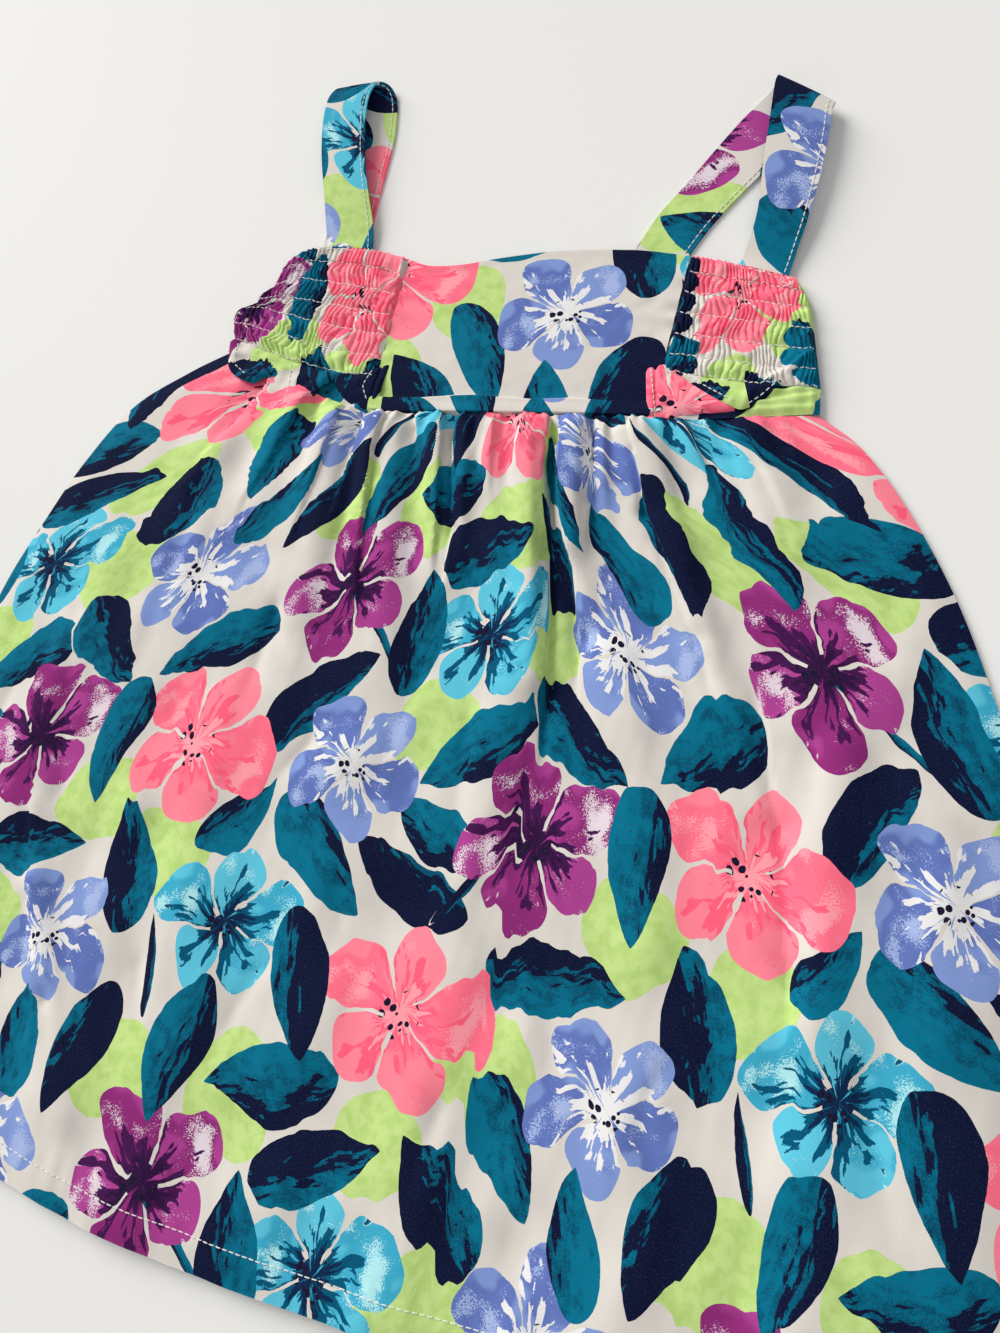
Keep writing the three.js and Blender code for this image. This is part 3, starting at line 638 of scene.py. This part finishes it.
def makeSkirtBack():
    x, y = skirtPlace(*shares(121, 81))
    places = np.stack([x, y, np.full_like(x, 0.7)], axis=-1)
    return clothSheet("skirt_back", places, flatCloth(places, (150, 90)), thickness=0.65)


skirtFront = makeSkirtFront()
makeSkirtBack()
print("skirt laid")


bodice = {
    "middleLeft": -60, "middleRight": 60.3, "topRight": 62, "lean": 2.2, "gap": 0.3,
    "tuckWidth": 7.5, "tuckSway": 0.8, "tuckEdge": 0.9,
    "tuckRise": 1.9, "tuckFall": 0.35, "tuckHides": 16,
    "crown": 0.7, "hem": 0.25,
    "soft": [(0.18, 30, 12), (0.06, 9, 13)],
    "pull": 0.45, "pullReach": 0.05,  # ripples along the seams to the side panels
    "creases": [
        (-30, 68, -10, 30, 3, 0.25, 0), (35, 78, 20, 40, 3, 0.3, 0), (-52, 40, -30, 22, 2, 0.3, 0),
        (52, 60, 38, 52, 1.6, 0.35, 0), (55, 44, 40, 38, 1.6, 0.35, 0), (-56, 58, -42, 54, 1.6, 0.3, 0),
        (-57, 32, -40, 30, 1.8, 0.35, 0), (10, 14, 44, 18, 2.4, 0.3, 0.1),
    ],
}


def middleRight(y):
    return bodice["middleRight"] + bodice["lean"] * y / garment["bodiceHeight"]


def makeBodiceFront():
    across, step = shares(141, 111)
    down = 1 - (1 - step) ** 1.6
    topX = lerp(bodice["middleLeft"], middleRight(bodiceTop(bodice["topRight"])), across)
    bottomX = lerp(bodice["middleLeft"], bodice["middleRight"], across)
    x = lerp(topX, bottomX, down)
    y = lerp(bodiceTop(topX), waistSeam(bottomX) + bodice["gap"], down)
    fromSeam = y - waistSeam(x)
    # the tuck's lower edge is a fold that stands over the seam, its upper edge a soft roll
    tuckTop = bodice["tuckWidth"] + bodice["tuckSway"] * unevenness(x, y * 0, 50, 4)
    tuckEnd = tuckTop + bodice["tuckEdge"]
    tuck = ease(fromSeam, 0.3, 1.6) * (1 - ease(fromSeam, tuckTop, tuckEnd))
    fall = 1 - bodice["tuckFall"] * ease(fromSeam, 1.5, 7)
    swell = bodice["crown"] * np.sin(np.pi * across) * np.sin(np.pi * step)
    pull = bodice["pull"] * np.exp(-np.minimum(across, 1 - across) / bodice["pullReach"])
    z = (garment["frontFace"] + swell + bodice["tuckRise"] * tuck * fall
         + softly(bodice["soft"], x, y)
         + pull * np.sin(y * 0.62 + np.sin(y * 0.23)) * ease(step, 0, 0.1)
         - creases(bodice["creases"], x, y) + bodice["hem"] * ease(bodiceTop(x) - y, 3.2, 1.2))
    z = np.maximum(z, garment["lowestFace"])
    places = np.stack([x, y, z], axis=-1)
    flat = flatCloth(places, (96, 208))
    # the tuck shows cloth from a little higher up the panel
    flat[..., 1] += bodice["tuckHides"] * (1 - ease(fromSeam, tuckTop + 0.2, tuckEnd))
    return clothSheet("bodice_front", places, flat)


def makeBodiceBack():
    across, down = shares(81, 31)
    topX, bottomX = lerp(-119, 107, across), lerp(-135, 125, across)
    x = lerp(topX, bottomX, down)
    y = lerp(bodiceTop(topX) - 1.5, waistSeam(bottomX) + bodice["gap"], down)
    places = np.stack([x, y, np.full_like(x, 0.8)], axis=-1)
    return clothSheet("bodice_back", places, flatCloth(places, (40, 130)), thickness=0.75)


bodiceFront = makeBodiceFront()
makeBodiceBack()
print("bodice middle laid")


smocked = {
    "columns": 210, "rows": 120,
    "header": 0.14,  # share of the height above the first elastic row
    "elasticRows": 5,
    "puckers": {"left": 27, "right": 25},
    "height": 1.15, "atRows": 0.45,  # of the puckers, and the share of it on the elastic rows
    "lift": 0.1, "bulge": 0.5, "rim": 0.03, "rimSink": 0.6, "lowest": 2.1,
    "depth": 0.75, "depthSpread": 0.35,  # of the creases, as a share of the puckers' height
    "seeds": {"left": 31, "right": 57},
    "drift": 0.9, "sway": 0.30, "kink": 0.12,  # how far the puckers wander, in puckers
    "creaseShare": 0.17,  # half width of the crease between two puckers, as a share of a pucker
    "hidden": 0.42,  # cloth hidden in the creases, as a share of the panel's width
    "origin": {"left": (205, 60), "right": (175, 205)},
    "pleats": {
        "left": [([(-88, 16), (-108, 32), (-124, 42)], -1, 4, 1.6, 1.8, 5),
                 ([(-96, 18), (-112, 24), (-131, 28)], -1, 3.5, 1.4, 1.6, 4)],
        "right": [([(103, 30), (112, 38), (119, 46)], 1, 4, 1.3, 1.4, 4)],
    },
}
sideEdges = {
    "left": [(0, -119, 64), (0.22, -121, 56), (0.34, -122.5, 51), (0.42, -127, 47.5), (0.54, -128, 42.5),
             (0.6, -130, 41), (0.68, -136, 39.5), (0.84, -136.5, 32), (1, -133, 24)],
    "right": [(0, 107, 75), (0.25, 113.5, 65), (0.5, 117, 53), (0.75, 120.5, 40), (1, 123.5, 29)],
}
lastRows = {
    "left": curve([(-133, 24), (-105, 17), (-80, 13), (-60, 13)]),
    "right": curve([(60, 28), (80, 28), (100, 27.5), (123.5, 29)]),
}


# A place on a side panel: across from its left edge, down from its top edge
def sidePlace(side, across, down):
    rows = sideEdges[side]
    edgeX = curve([(row[0], row[1]) for row in rows])(down)
    edgeY = curve([(row[0], row[2]) for row in rows])(down)
    if side == "left":
        innerTop = innerBottom = bodice["middleLeft"] - bodice["gap"]
        out = 1 - across
    else:
        innerTop = middleRight(bodiceTop(bodice["topRight"])) + bodice["gap"]
        innerBottom = middleRight(28) + bodice["gap"]
        out = across
    topX, bottomX = lerp(innerTop, rows[0][1], out), lerp(innerBottom, rows[-1][1], out)
    straightX = lerp(rows[0][1], rows[-1][1], down)
    straightY = lerp(rows[0][2], rows[-1][2], down)
    x = lerp(lerp(innerTop, innerBottom, down), straightX, out) + out * (edgeX - straightX)
    y = lerp(bodiceTop(topX), lastRows[side](bottomX), down) + out * (edgeY - straightY)
    return x, y


# Elastic row number at a share of the panel's height
def elasticRow(down):
    return np.maximum(down - smocked["header"], 0) / (1 - smocked["header"]) * smocked["elasticRows"]


def makeBodiceSide(side):
    across, down = shares(smocked["columns"] + 1, smocked["rows"] + 1)
    x, y = sidePlace(side, across, down)
    row = elasticRow(down)
    seed = smocked["seeds"][side]
    count = smocked["puckers"][side]
    drift = smocked["drift"] * unevenness(across * 100, row * 16, 34, seed)
    sway = (smocked["sway"] * np.sin(np.pi * row + 0.9 * np.sin(across * 11 + seed))
            + smocked["kink"] * np.sin(2 * np.pi * row + across * 37))
    turn = across * count + sway + drift
    crease = np.round(turn)
    off = turn - crease
    scatter = np.sin(crease * 2.4 + np.floor(row + 0.5) * 1.7 + seed)
    deep = smocked["depth"] + smocked["depthSpread"] * scatter
    valley = np.exp(-(off / smocked["creaseShare"]) ** 2)
    between = np.abs(np.sin(np.pi * row))
    inHeader = down < smocked["header"]
    between = np.where(inHeader, 0.8 * ease(down, 0, 0.04) + 0.2, between ** 0.5)
    rim = ease(np.minimum(across, 1 - across), 0, smocked["rim"])
    swell = softly([(0.55, 13, seed + 1), (0.14, 5, seed + 2)], x, y)
    z = (garment["frontFace"] + smocked["lift"] + rim * (
        smocked["height"] * lerp(smocked["atRows"], 1, between) * (1 - deep * valley)
        + smocked["bulge"] * between + swell * between))
    pleats, push, folded = pleated(smocked["pleats"][side], x, y)
    z = np.maximum(z + pleats * rim - smocked["rimSink"] * (1 - rim), smocked["lowest"])
    y = y + 0.3 * np.sin(np.pi * 2 * turn) * ease(down, 0.1, 0)
    x = x + push * rim
    places = np.stack([x, y, z], axis=-1)
    width = abs(float(x[0, -1] - x[0, 0]))
    hidden = smocked["hidden"] * width / count * (crease + 0.5 * np.tanh(off / 0.10))
    flat = flatCloth(places, smocked["origin"][side], hidden=hidden + folded)
    panelHems[side] = (x[-1], flat[-1])
    return clothSheet(f"bodice_side_{side}", places, flat, thickness=0.4)


panelHems = {}  # places and print of each panel's lower edge, where the waist folds go on
sidePanels = {side: makeBodiceSide(side) for side in ("left", "right")}
print("side panels gathered")


waist = {
    "strip": 0.8,  # thickness of tucks and points
    "seeds": {"left": 71, "right": 93},
    "bandSink": 0.3, "bandTallest": 4, "bandSoft": 0.35,
    "ripple": 0.5, "ripples": 40,  # under the last elastic row
    "bandFolds": {
        "left": [(-68, 14, -66, -2, 3, 4, 1.2, 1, 0.2), (-84, 14, -88, 4, 3, 4, 1.2, 1.2, 0.2),
                 (-104, 17, -108, 8, 3, 4, 1.3, 1.2, 0.2), (-122, 22, -126, 15, 3, 3, 1.2, 1, 0.2)],
        "right": [(70, 27, 68, 10, 3, 4, 1.2, 1, 0.2), (90, 27, 92, 13, 3, 4, 1.2, 1.2, 0.2),
                  (101, 20, 124, 25.5, 2, 2.4, 2.2, 1.6, 0.4), (104, 25, 122, 29, 1.6, 2, 1.8, 1.6, 0.3),
                  (98, 16, 123, 20.5, 1.8, 2.2, 1.6, 1.4, 0.3)],
    },
    # upper and lower edge, from the middle out
    "tucks": {
        "left": [(-55.5, 20, -56, -1.5), (-60, 18, -61, -2), (-67, 15.5, -68, -0.5), (-74, 14, -75, 4),
                 (-80, 13.6, -80, 11)],
        "right": [(54.5, 31, 60.5, 3.5), (58.5, 32, 64, 4.5), (65, 31.5, 69.5, 8.5), (73, 28, 76, 12),
                  (82, 23, 85, 13.8), (92, 18.5, 93, 15)],
    },
    "tuckShape": {"root": 3.7, "edge": 3.4, "belly": 1.7, "groove": 0.7},
    # root under the panel's lower edge and free edge, from left to right
    "points": {
        "left": [(-131, 24.6, -133.5, 21), (-127, 23.6, -131, 10), (-121, 22.2, -124, 5),
                 (-115, 20.6, -116, 3.4), (-111, 19.4, -110.5, 6.6), (-107, 18.4, -108, -0.6),
                 (-103, 17.6, -103, -3), (-98, 16.6, -95.5, -9.5), (-92, 15.4, -89, -3.5),
                 (-86, 14.6, -83, 5), (-80, 14, -76.5, 12)],
        "right": [(68, 29, 67, 29), (73, 28.8, 74, 24.6), (80, 28.6, 83, 20), (87, 28.6, 91, 16.6),
                  (93, 28.6, 96.5, 16), (98, 28.6, 102, 21), (103, 28.8, 106, 26.5), (107, 29, 109, 30)],
    },
    "pointShape": {"root": 3.55, "edge": 4.7, "belly": 1.2, "groove": 0.0},
    "pointFolds": {
        "left": [(-91, 16, -128, 17, 1.8, 3.4, 0.8, 1.7, 0.5), (-94, 15, -118, 6, 1.8, 3, 0.5, 1.5, 0.4),
                 (-97, 14, -95, -7, 1.6, 3, 0.4, 1.3, 0.3), (-88, 13, -83, 6, 1.6, 2.4, 0.5, 1.0, 0.3)],
        "right": [(73, 29, 90, 19, 1.6, 3, 0.4, 1.0, 0.3), (99, 28, 96, 18, 1.5, 2.4, 0.4, 1.2, 0.3)],
    },
    "origins": {"band_left": (20, 100), "band_right": (60, 170), "tuck_left": (209, 216),
                "tuck_right": (198, 16)},
}


def makeWaistBand(side):
    across, down = shares(121, 41)
    topX, topY = sidePlace(side, across, np.ones_like(across))
    if side == "left":
        bottomX = lerp(-135, bodice["middleLeft"] - bodice["gap"], across)
    else:
        bottomX = lerp(bodice["middleRight"] + 0.6, 125, across)
    x = lerp(topX, bottomX, down)
    y = lerp(topY - bodice["gap"], waistSeam(bottomX) + bodice["gap"], down)
    rim = ease(np.minimum(across, 1 - across), 0, 0.06)
    seed = waist["seeds"][side]
    folded = ridges(waist["bandFolds"][side], x, y, waist["bandTallest"])
    ripple = waist["ripple"] * np.sin(across * waist["ripples"] + seed) * ease(down, 0.45, 0)
    z = (garment["frontFace"] - waist["bandSink"]
         + rim * (folded + softly([(waist["bandSoft"], 9, seed)], x, y)) + ripple * rim)
    z = np.maximum(z, garment["lowestFace"])
    places = np.stack([x, y, z], axis=-1)
    flat = flatCloth(places, waist["origins"][f"band_{side}"], turn=0.3)
    return clothSheet(f"waist_band_{side}", places, flat, thickness=0.45)


# A folded strip between the two edges of a table
def foldedStrip(rows, shape, folds=()):
    steps = np.linspace(0, 1, len(rows))
    over, along = shares(25, 14 * (len(rows) - 1) + 1)
    ax, ay, bx, by = [curve(list(zip(steps, [row[k] for row in rows])))(along) for k in range(4)]
    x, y = lerp(ax, bx, over), lerp(ay, by, over)
    z = (lerp(shape["root"], shape["edge"], over ** 0.7) + shape["belly"] * np.sin(np.pi * over) ** 0.7
         + ridges(folds, x, y, 3) * over ** 0.5 + 0.22 * unevenness(x, y, 7, 41)
         - shape["groove"] * np.exp(-((along - 0.19) / 0.03) ** 2))
    return np.stack([x, y, z], axis=-1).transpose(1, 0, 2)


def makeWaistTuck(side):
    places = foldedStrip(waist["tucks"][side], waist["tuckShape"])
    places = places[:, ::-1] if side == "left" else places
    # the side next to the middle of the dress is a rounded fold
    inner = places[:, -1:, 0] if side == "left" else places[:, :1, 0]
    places[..., 2] -= 0.9 * np.exp(-np.abs(places[..., 0] - inner) / 0.9)
    flat = flatCloth(places, waist["origins"][f"tuck_{side}"])
    return clothSheet(f"waist_tuck_{side}", places, flat, waist["strip"])


def makeWaistPoint(side):
    places = foldedStrip(waist["points"][side], waist["pointShape"], waist["pointFolds"][side])
    # the print goes on from the panel above
    hemX, hemFlat = panelHems[side]
    u, v = [np.interp(places[0, :, 0], hemX, hemFlat[:, k]) for k in range(2)]
    fall = np.concatenate([np.zeros((1, places.shape[1])), np.cumsum(
        np.linalg.norm(np.diff(places, axis=0), axis=-1), axis=0)], axis=0)
    flat = np.stack([u[None, :] + places[..., 0] - places[:1, :, 0], v[None, :] - fall], axis=-1)
    return clothSheet(f"waist_point_{side}", places, flat, waist["strip"])


waistPieces = [make(side) for make in (makeWaistBand, makeWaistTuck, makeWaistPoint)
               for side in ("left", "right")]
print("waist folds laid")


strapRows = {
    "left": [
        (-101, 74.5, 2.7, -79, 74.5, 2.7), (-102.5, 79, 2.7, -80, 79.5, 2.7),
        (-105, 87, 3.8, -82, 88, 3.8), (-109, 100, 5, -86.5, 99.5, 5),
        (-115, 118, 6, -92, 114.5, 6.2), (-119, 135, 6.6, -96.5, 131.5, 7.2),
        (-120, 148, 6.8, -99.5, 147.5, 7.4), (-118, 154.8, 5.8, -98.5, 157.5, 6.8),
        (-115.5, 156.6, 3.6, -95, 160.5, 4.2), (-113, 154.2, 1.1, -91, 158.5, 1.3),
        (-111, 148, 0, -87.5, 151, 0), (-108, 134, 0, -84.5, 134, 0),
        (-106.5, 118, 0, -84, 118, 0), (-105.5, 98, 0, -83.5, 98, 0), (-104, 73.5, 0, -82, 73.5, 0),
    ],
    "right": [
        (83, 80, 2.7, 103, 76.5, 2.7), (84, 85, 2.7, 103.8, 82, 2.7),
        (85.5, 94, 4.4, 105, 91, 3.8), (86, 106, 6, 106.5, 102, 5), (84.5, 126, 7.4, 108, 121, 6.2),
        (83.5, 147, 8.4, 108.2, 139, 7), (82.8, 161.5, 8.4, 107.6, 150.5, 7),
        (83.4, 166.4, 7.2, 108.2, 155, 6), (83.6, 168.2, 4.2, 108.4, 156.6, 3.6),
        (82.6, 166.6, 1.2, 107.2, 155.2, 1.1), (80, 162, 0, 104.4, 151.4, 0),
        (72, 150, 0, 97.5, 142, 0), (63, 134, 0, 87, 128, 0), (54, 117, 0, 77, 113, 0),
        (45, 101, 0, 68, 98, 0), (38, 82, 0, 60.5, 81.5, 0),
    ],
}
strapLook = {
    "columns": 15, "rows": 141, "width": 22, "thickness": 1.0, "crown": 0.35,
    "origins": {"left": (10, 300), "right": (208, 246)},
}


def strapGrid(side, overShares, stepShares):
    rows = strapRows[side]
    steps = np.linspace(0, 1, len(rows))
    over, step = np.meshgrid(overShares, stepShares)
    ax, ay, az, bx, by, bz = [curve(list(zip(steps, [row[k] for row in rows])))(1 - step)
                              for k in range(6)]
    x, y = lerp(ax, bx, over), lerp(ay, by, over)
    upper = ease(az, 0, 3)
    z = np.maximum(lerp(az, bz, over) + upper * strapLook["crown"] * np.sin(np.pi * over), 0)
    return np.stack([x, y, z], axis=-1)


def makeStrap(side):
    columns, (originX, originY) = strapLook["columns"], strapLook["origins"][side]
    places = strapGrid(side, np.linspace(0, 1, columns), np.linspace(0, 1, strapLook["rows"]))
    # both ends go under the bodice's upper edge
    places[0, :, 1] = bodiceTop(places[0, :, 0]) - 0.9
    places[-1, :, 1] = bodiceTop(places[-1, :, 0]) + 0.6
    run = np.linalg.norm(np.diff(places[:, columns // 2], axis=0), axis=-1)
    half = strapLook["width"] / 2
    u, v = np.meshgrid(np.linspace(-half, half, columns), np.concatenate([[0], np.cumsum(run)]))
    flat = np.stack([u + originX, originY - v], axis=-1)
    clothSheet(f"strap_{side}", places, flat, strapLook["thickness"])


for side in ("left", "right"):
    makeStrap(side)
print("straps folded")


sewing = {
    "pitch": 2.7, "length": 2.1, "thread": 0.48, "rise": 0.18,
    "elasticPitch": 2.15, "elasticLength": 1.7, "elasticSway": 0.22,
    "foldPitch": 2.4, "foldLength": 1.8, "steepest": 1.6,  # rise in a stitch that is left out
    "hemAbove": 12.3,  # the hem's stitches above its edge
    "strapEdge": 0.91,  # share of the strap's width
    "lines": [
        [(56.8, 30), (60.5, 17), (63.5, 6.5)], [(70, 28.6), (77, 25), (85, 21.2), (92, 18.4)],
        [(97.4, 18), (102, 22.8), (106.5, 28.6)], [(-129.5, 22), (-127.5, 11), (-121, 7)],
        [(-101, 15), (-96, -6)], [(-62, 16), (-64.5, 8), (-61, 2)],
        [(100.6, 72.4), (105.4, 71), (105.9, 76), (101.2, 77.4), (100.6, 72.4)],
        [(100.6, 72.4), (105.9, 76)], [(105.4, 71), (101.2, 77.4)],
        [(-100, 72.3), (-80, 72.6)], [(84, 77.6), (100, 74.6)],
    ],
}


# One stitch: a short six-sided thread along x, tapered at both ends
def stitchShape():
    bpy.ops.object.select_all(action="DESELECT")
    bpy.ops.mesh.primitive_cylinder_add(vertices=6, radius=0.5, depth=0.6, rotation=(0, math.pi / 2, 0))
    bpy.ops.object.transform_apply(location=True, rotation=True, scale=True)
    model = bpy.context.object
    bpy.context.tool_settings.mesh_select_mode = (False, False, True)
    for end in (-1, 1):
        bpy.ops.object.mode_set(mode="EDIT")
        bpy.ops.mesh.select_all(action="DESELECT")
        bpy.ops.object.mode_set(mode="OBJECT")
        for face in model.data.polygons:
            face.select = face.normal.x * end > 0.9
        bpy.ops.object.mode_set(mode="EDIT")
        bpy.ops.mesh.extrude_region_move(TRANSFORM_OT_translate={"value": (0.2 * end, 0, 0)})
        bpy.ops.transform.resize(value=(1, 0.45, 0.45))
        bpy.ops.object.mode_set(mode="OBJECT")
    # extruding leaves points and faces in no fixed order, so both are sorted
    points = [tuple(vertex.co) for vertex in model.data.vertices]
    order = sorted(range(len(points)), key=lambda k: [round(c, 4) for c in points[k]])
    rings = [[order.index(k) for k in face.vertices] for face in model.data.polygons]
    bpy.data.objects.remove(model, do_unlink=True)
    starts = [ring.index(min(ring)) for ring in rings]
    faces = sorted(tuple(ring[k:] + ring[:k]) for ring, k in zip(rings, starts))
    return np.array([points[k] for k in order]), faces


stitch, stitchFaces = stitchShape()


# Copies of the stitch from each start to each end, risen along its normal, joined in one piece
def sewn(name, starts, ends, normals):
    starts, ends, normals = np.array(starts), np.array(ends), np.array(normals)
    run = ends - starts
    ahead = run / np.linalg.norm(run, axis=1, keepdims=True)
    side = np.cross(normals, ahead)
    side /= np.linalg.norm(side, axis=1, keepdims=True)
    up = np.cross(ahead, side)
    arch = sewing["rise"] * (1 - 3.2 * stitch[:, 0] ** 2)
    places = ((starts + ends)[:, None] / 2 + stitch[None, :, :1] * run[:, None]
              + stitch[None, :, 1:2] * sewing["thread"] * side[:, None]
              + (stitch[:, 2] * sewing["thread"] * 0.8 + arch)[None, :, None] * up[:, None])
    metres = places.reshape(-1, 3) / 1000
    metres[:, :2] += garment["middle"]
    faces = [tuple(k + i * len(stitch) for k in face)
             for i in range(len(starts)) for face in stitchFaces]
    mesh = bpy.data.meshes.new(name)
    mesh.from_pydata(metres.tolist(), [], faces)
    mesh.materials.append(threadMaterial)
    piece = bpy.data.objects.new(name, mesh)
    bpy.context.scene.collection.objects.link(piece)
    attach(piece, "root")
    print(f"{name}: {len(starts)} stitches")


# The cloth from above, in garment measures
def clothSurface(pieces):
    places, faces, count = [], [], 0
    for piece in pieces:
        mesh = piece.data
        here = np.zeros(len(mesh.vertices) * 3)
        mesh.vertices.foreach_get("co", here)
        here = here.reshape(-1, 3)
        here[:, :2] -= garment["middle"]
        places += (here * 1000).tolist()
        faces += [[k + count for k in face.vertices] for face in mesh.polygons]
        count += len(here)
    return BVHTree.FromPolygons(places, faces)


# Even steps along a line of garment points: the starts and ends of its stitches
def stitchSteps(line, pitch, length):
    line = np.array(line, float)
    run = np.concatenate([[0], np.cumsum(np.linalg.norm(np.diff(line, axis=0), axis=1))])
    count = max(int(run[-1] / pitch), 1)
    begin = (np.arange(count) + 0.5) * run[-1] / count - length / 2
    return [np.stack([np.interp(begin + more, run, line[:, k]) for k in range(line.shape[1])], axis=1)
            for more in (0, length)]


# Stitches dropped on the cloth along lines, where it isn't too steep
def sewOnto(name, surface, lines, pitch, length, sway=0.0):
    starts, ends, normals = [], [], []
    for line in lines:
        for k, pair in enumerate(zip(*stitchSteps(line, pitch, length))):
            tilt = sway * (1 if k % 2 else -1)
            hits = [surface.ray_cast(Vector((point[0], point[1] + tilt * turn, 60)), Vector((0, 0, -1)))
                    for point, turn in zip(pair, (-1, 1))]
            (start, upStart), (end, upEnd) = [hit[:2] for hit in hits]
            if start is None or end is None or abs(start.z - end.z) > sewing["steepest"]:
                continue
            starts.append(start)
            ends.append(end)
            normals.append((upStart + upEnd).normalized())
    sewn(name, starts, ends, normals)


def sewElastic(surface):
    lines, across = [], np.linspace(0.02, 0.985, 90)
    header, count = smocked["header"], smocked["elasticRows"]
    for side in ("left", "right"):
        for k in range(count + 1):
            down = np.full_like(across, header + (1 - header) * min(k / count, 0.985))
            x, y = sidePlace(side, across, down)
            lines.append(np.stack([x, y + 0.25 * np.sin(across * 31 + k)], axis=1))
    sewOnto("elastic_stitches", surface, lines, sewing["elasticPitch"], sewing["elasticLength"],
            sewing["elasticSway"])


def sewStraps():
    starts, ends, normals = [], [], []
    for side in ("left", "right"):
        steps = np.linspace(0.01, 0.99, 200)
        lower, middle, upper = [strapGrid(side, [sewing["strapEdge"] + more], steps)[:, 0]
                                for more in (-0.1, 0, 0.05)]
        ahead = np.gradient(middle, axis=0)
        outward = np.cross(ahead, upper - lower)
        outward /= np.linalg.norm(outward, axis=1, keepdims=True)
        outward *= np.sign(outward[-20, 2])
        for depth in (0.0, -strapLook["thickness"]):
            facing = outward if depth == 0 else -outward
            both = np.concatenate([middle + outward * depth, facing], axis=1)
            begin, end = stitchSteps(both, sewing["pitch"], sewing["length"])
            starts += begin[:, :3].tolist()
            ends += end[:, :3].tolist()
            normals += begin[:, 3:].tolist()
    sewn("strap_stitches", starts, ends, normals)


surface = clothSurface([skirtFront, bodiceFront, *sidePanels.values(), *waistPieces])
hemX = np.linspace(-231, 227, 200)
sewOnto("hem_stitches", surface, [np.stack([hemX, hemLine(hemX) + sewing["hemAbove"]], axis=1)],
        sewing["pitch"], sewing["length"])
sewElastic(surface)
sewOnto("fold_stitches", surface, sewing["lines"], sewing["foldPitch"], sewing["foldLength"])
sewStraps()
print("stitches sewn")


def layFloor():
    bpy.ops.object.select_all(action="DESELECT")
    bpy.ops.mesh.primitive_plane_add(size=6, location=(0, 0, -0.0002))
    bpy.ops.object.transform_apply(location=True, rotation=True, scale=True)
    floor = bpy.context.object
    floor.name = "floor"
    floor.data.materials.append(plainMaterial("paleSurface", (0.80, 0.795, 0.775, 1), 0.6))


# A lamp that faces the dress; size is a sun's angle or an area's width
def addLight(kind, name, place, strength, colour, size):
    bpy.ops.object.light_add(type=kind, location=place)
    lamp = bpy.context.object
    lamp.name = name
    lamp.data.energy = strength
    lamp.data.color = colour
    lamp.rotation_euler = (-Vector(place)).to_track_quat("-Z", "Y").to_euler()
    setattr(lamp.data, "angle" if kind == "SUN" else "size", size)


layFloor()
addLight("SUN", "window", (-1.2, 0.7, 0.75), 3.7, (1.0, 0.985, 0.955), 0.7)
addLight("AREA", "room", (0.5, -0.5, 1.9), 6, (0.97, 0.98, 1.0), 2.4)
world = bpy.data.worlds.new("room")
bpy.context.scene.world = world
world.use_nodes = True
sky = world.node_tree.nodes["Background"]
sky.inputs["Color"].default_value = (1, 1, 1, 1)
sky.inputs["Strength"].default_value = 0.365
bpy.context.scene.view_settings.view_transform = "Standard"

cameraView = {
    "place": (126.1, -170.3, 373.5),  # garment millimetres
    "right": (0.9488, 0.2261, -0.2205), "up": (-0.1758, 0.9582, 0.2259),
    "back": (0.2623, -0.1756, 0.9489), "lens": 27.0, "sensor": 36,
}
bpy.ops.object.camera_add()
camera = bpy.context.object
spot = Vector(cameraView["place"]) / 1000 + Vector((*garment["middle"], 0))
axes = [Vector(cameraView[name]) for name in ("right", "up", "back")]
camera.matrix_world = Matrix([[*(axis[k] for axis in axes), spot[k]] for k in range(3)] + [[0, 0, 0, 1]])
camera.data.lens = cameraView["lens"]
camera.data.sensor_width = cameraView["sensor"]
camera.data.clip_start = 0.01
bpy.context.scene.camera = camera
print("lights and camera placed")
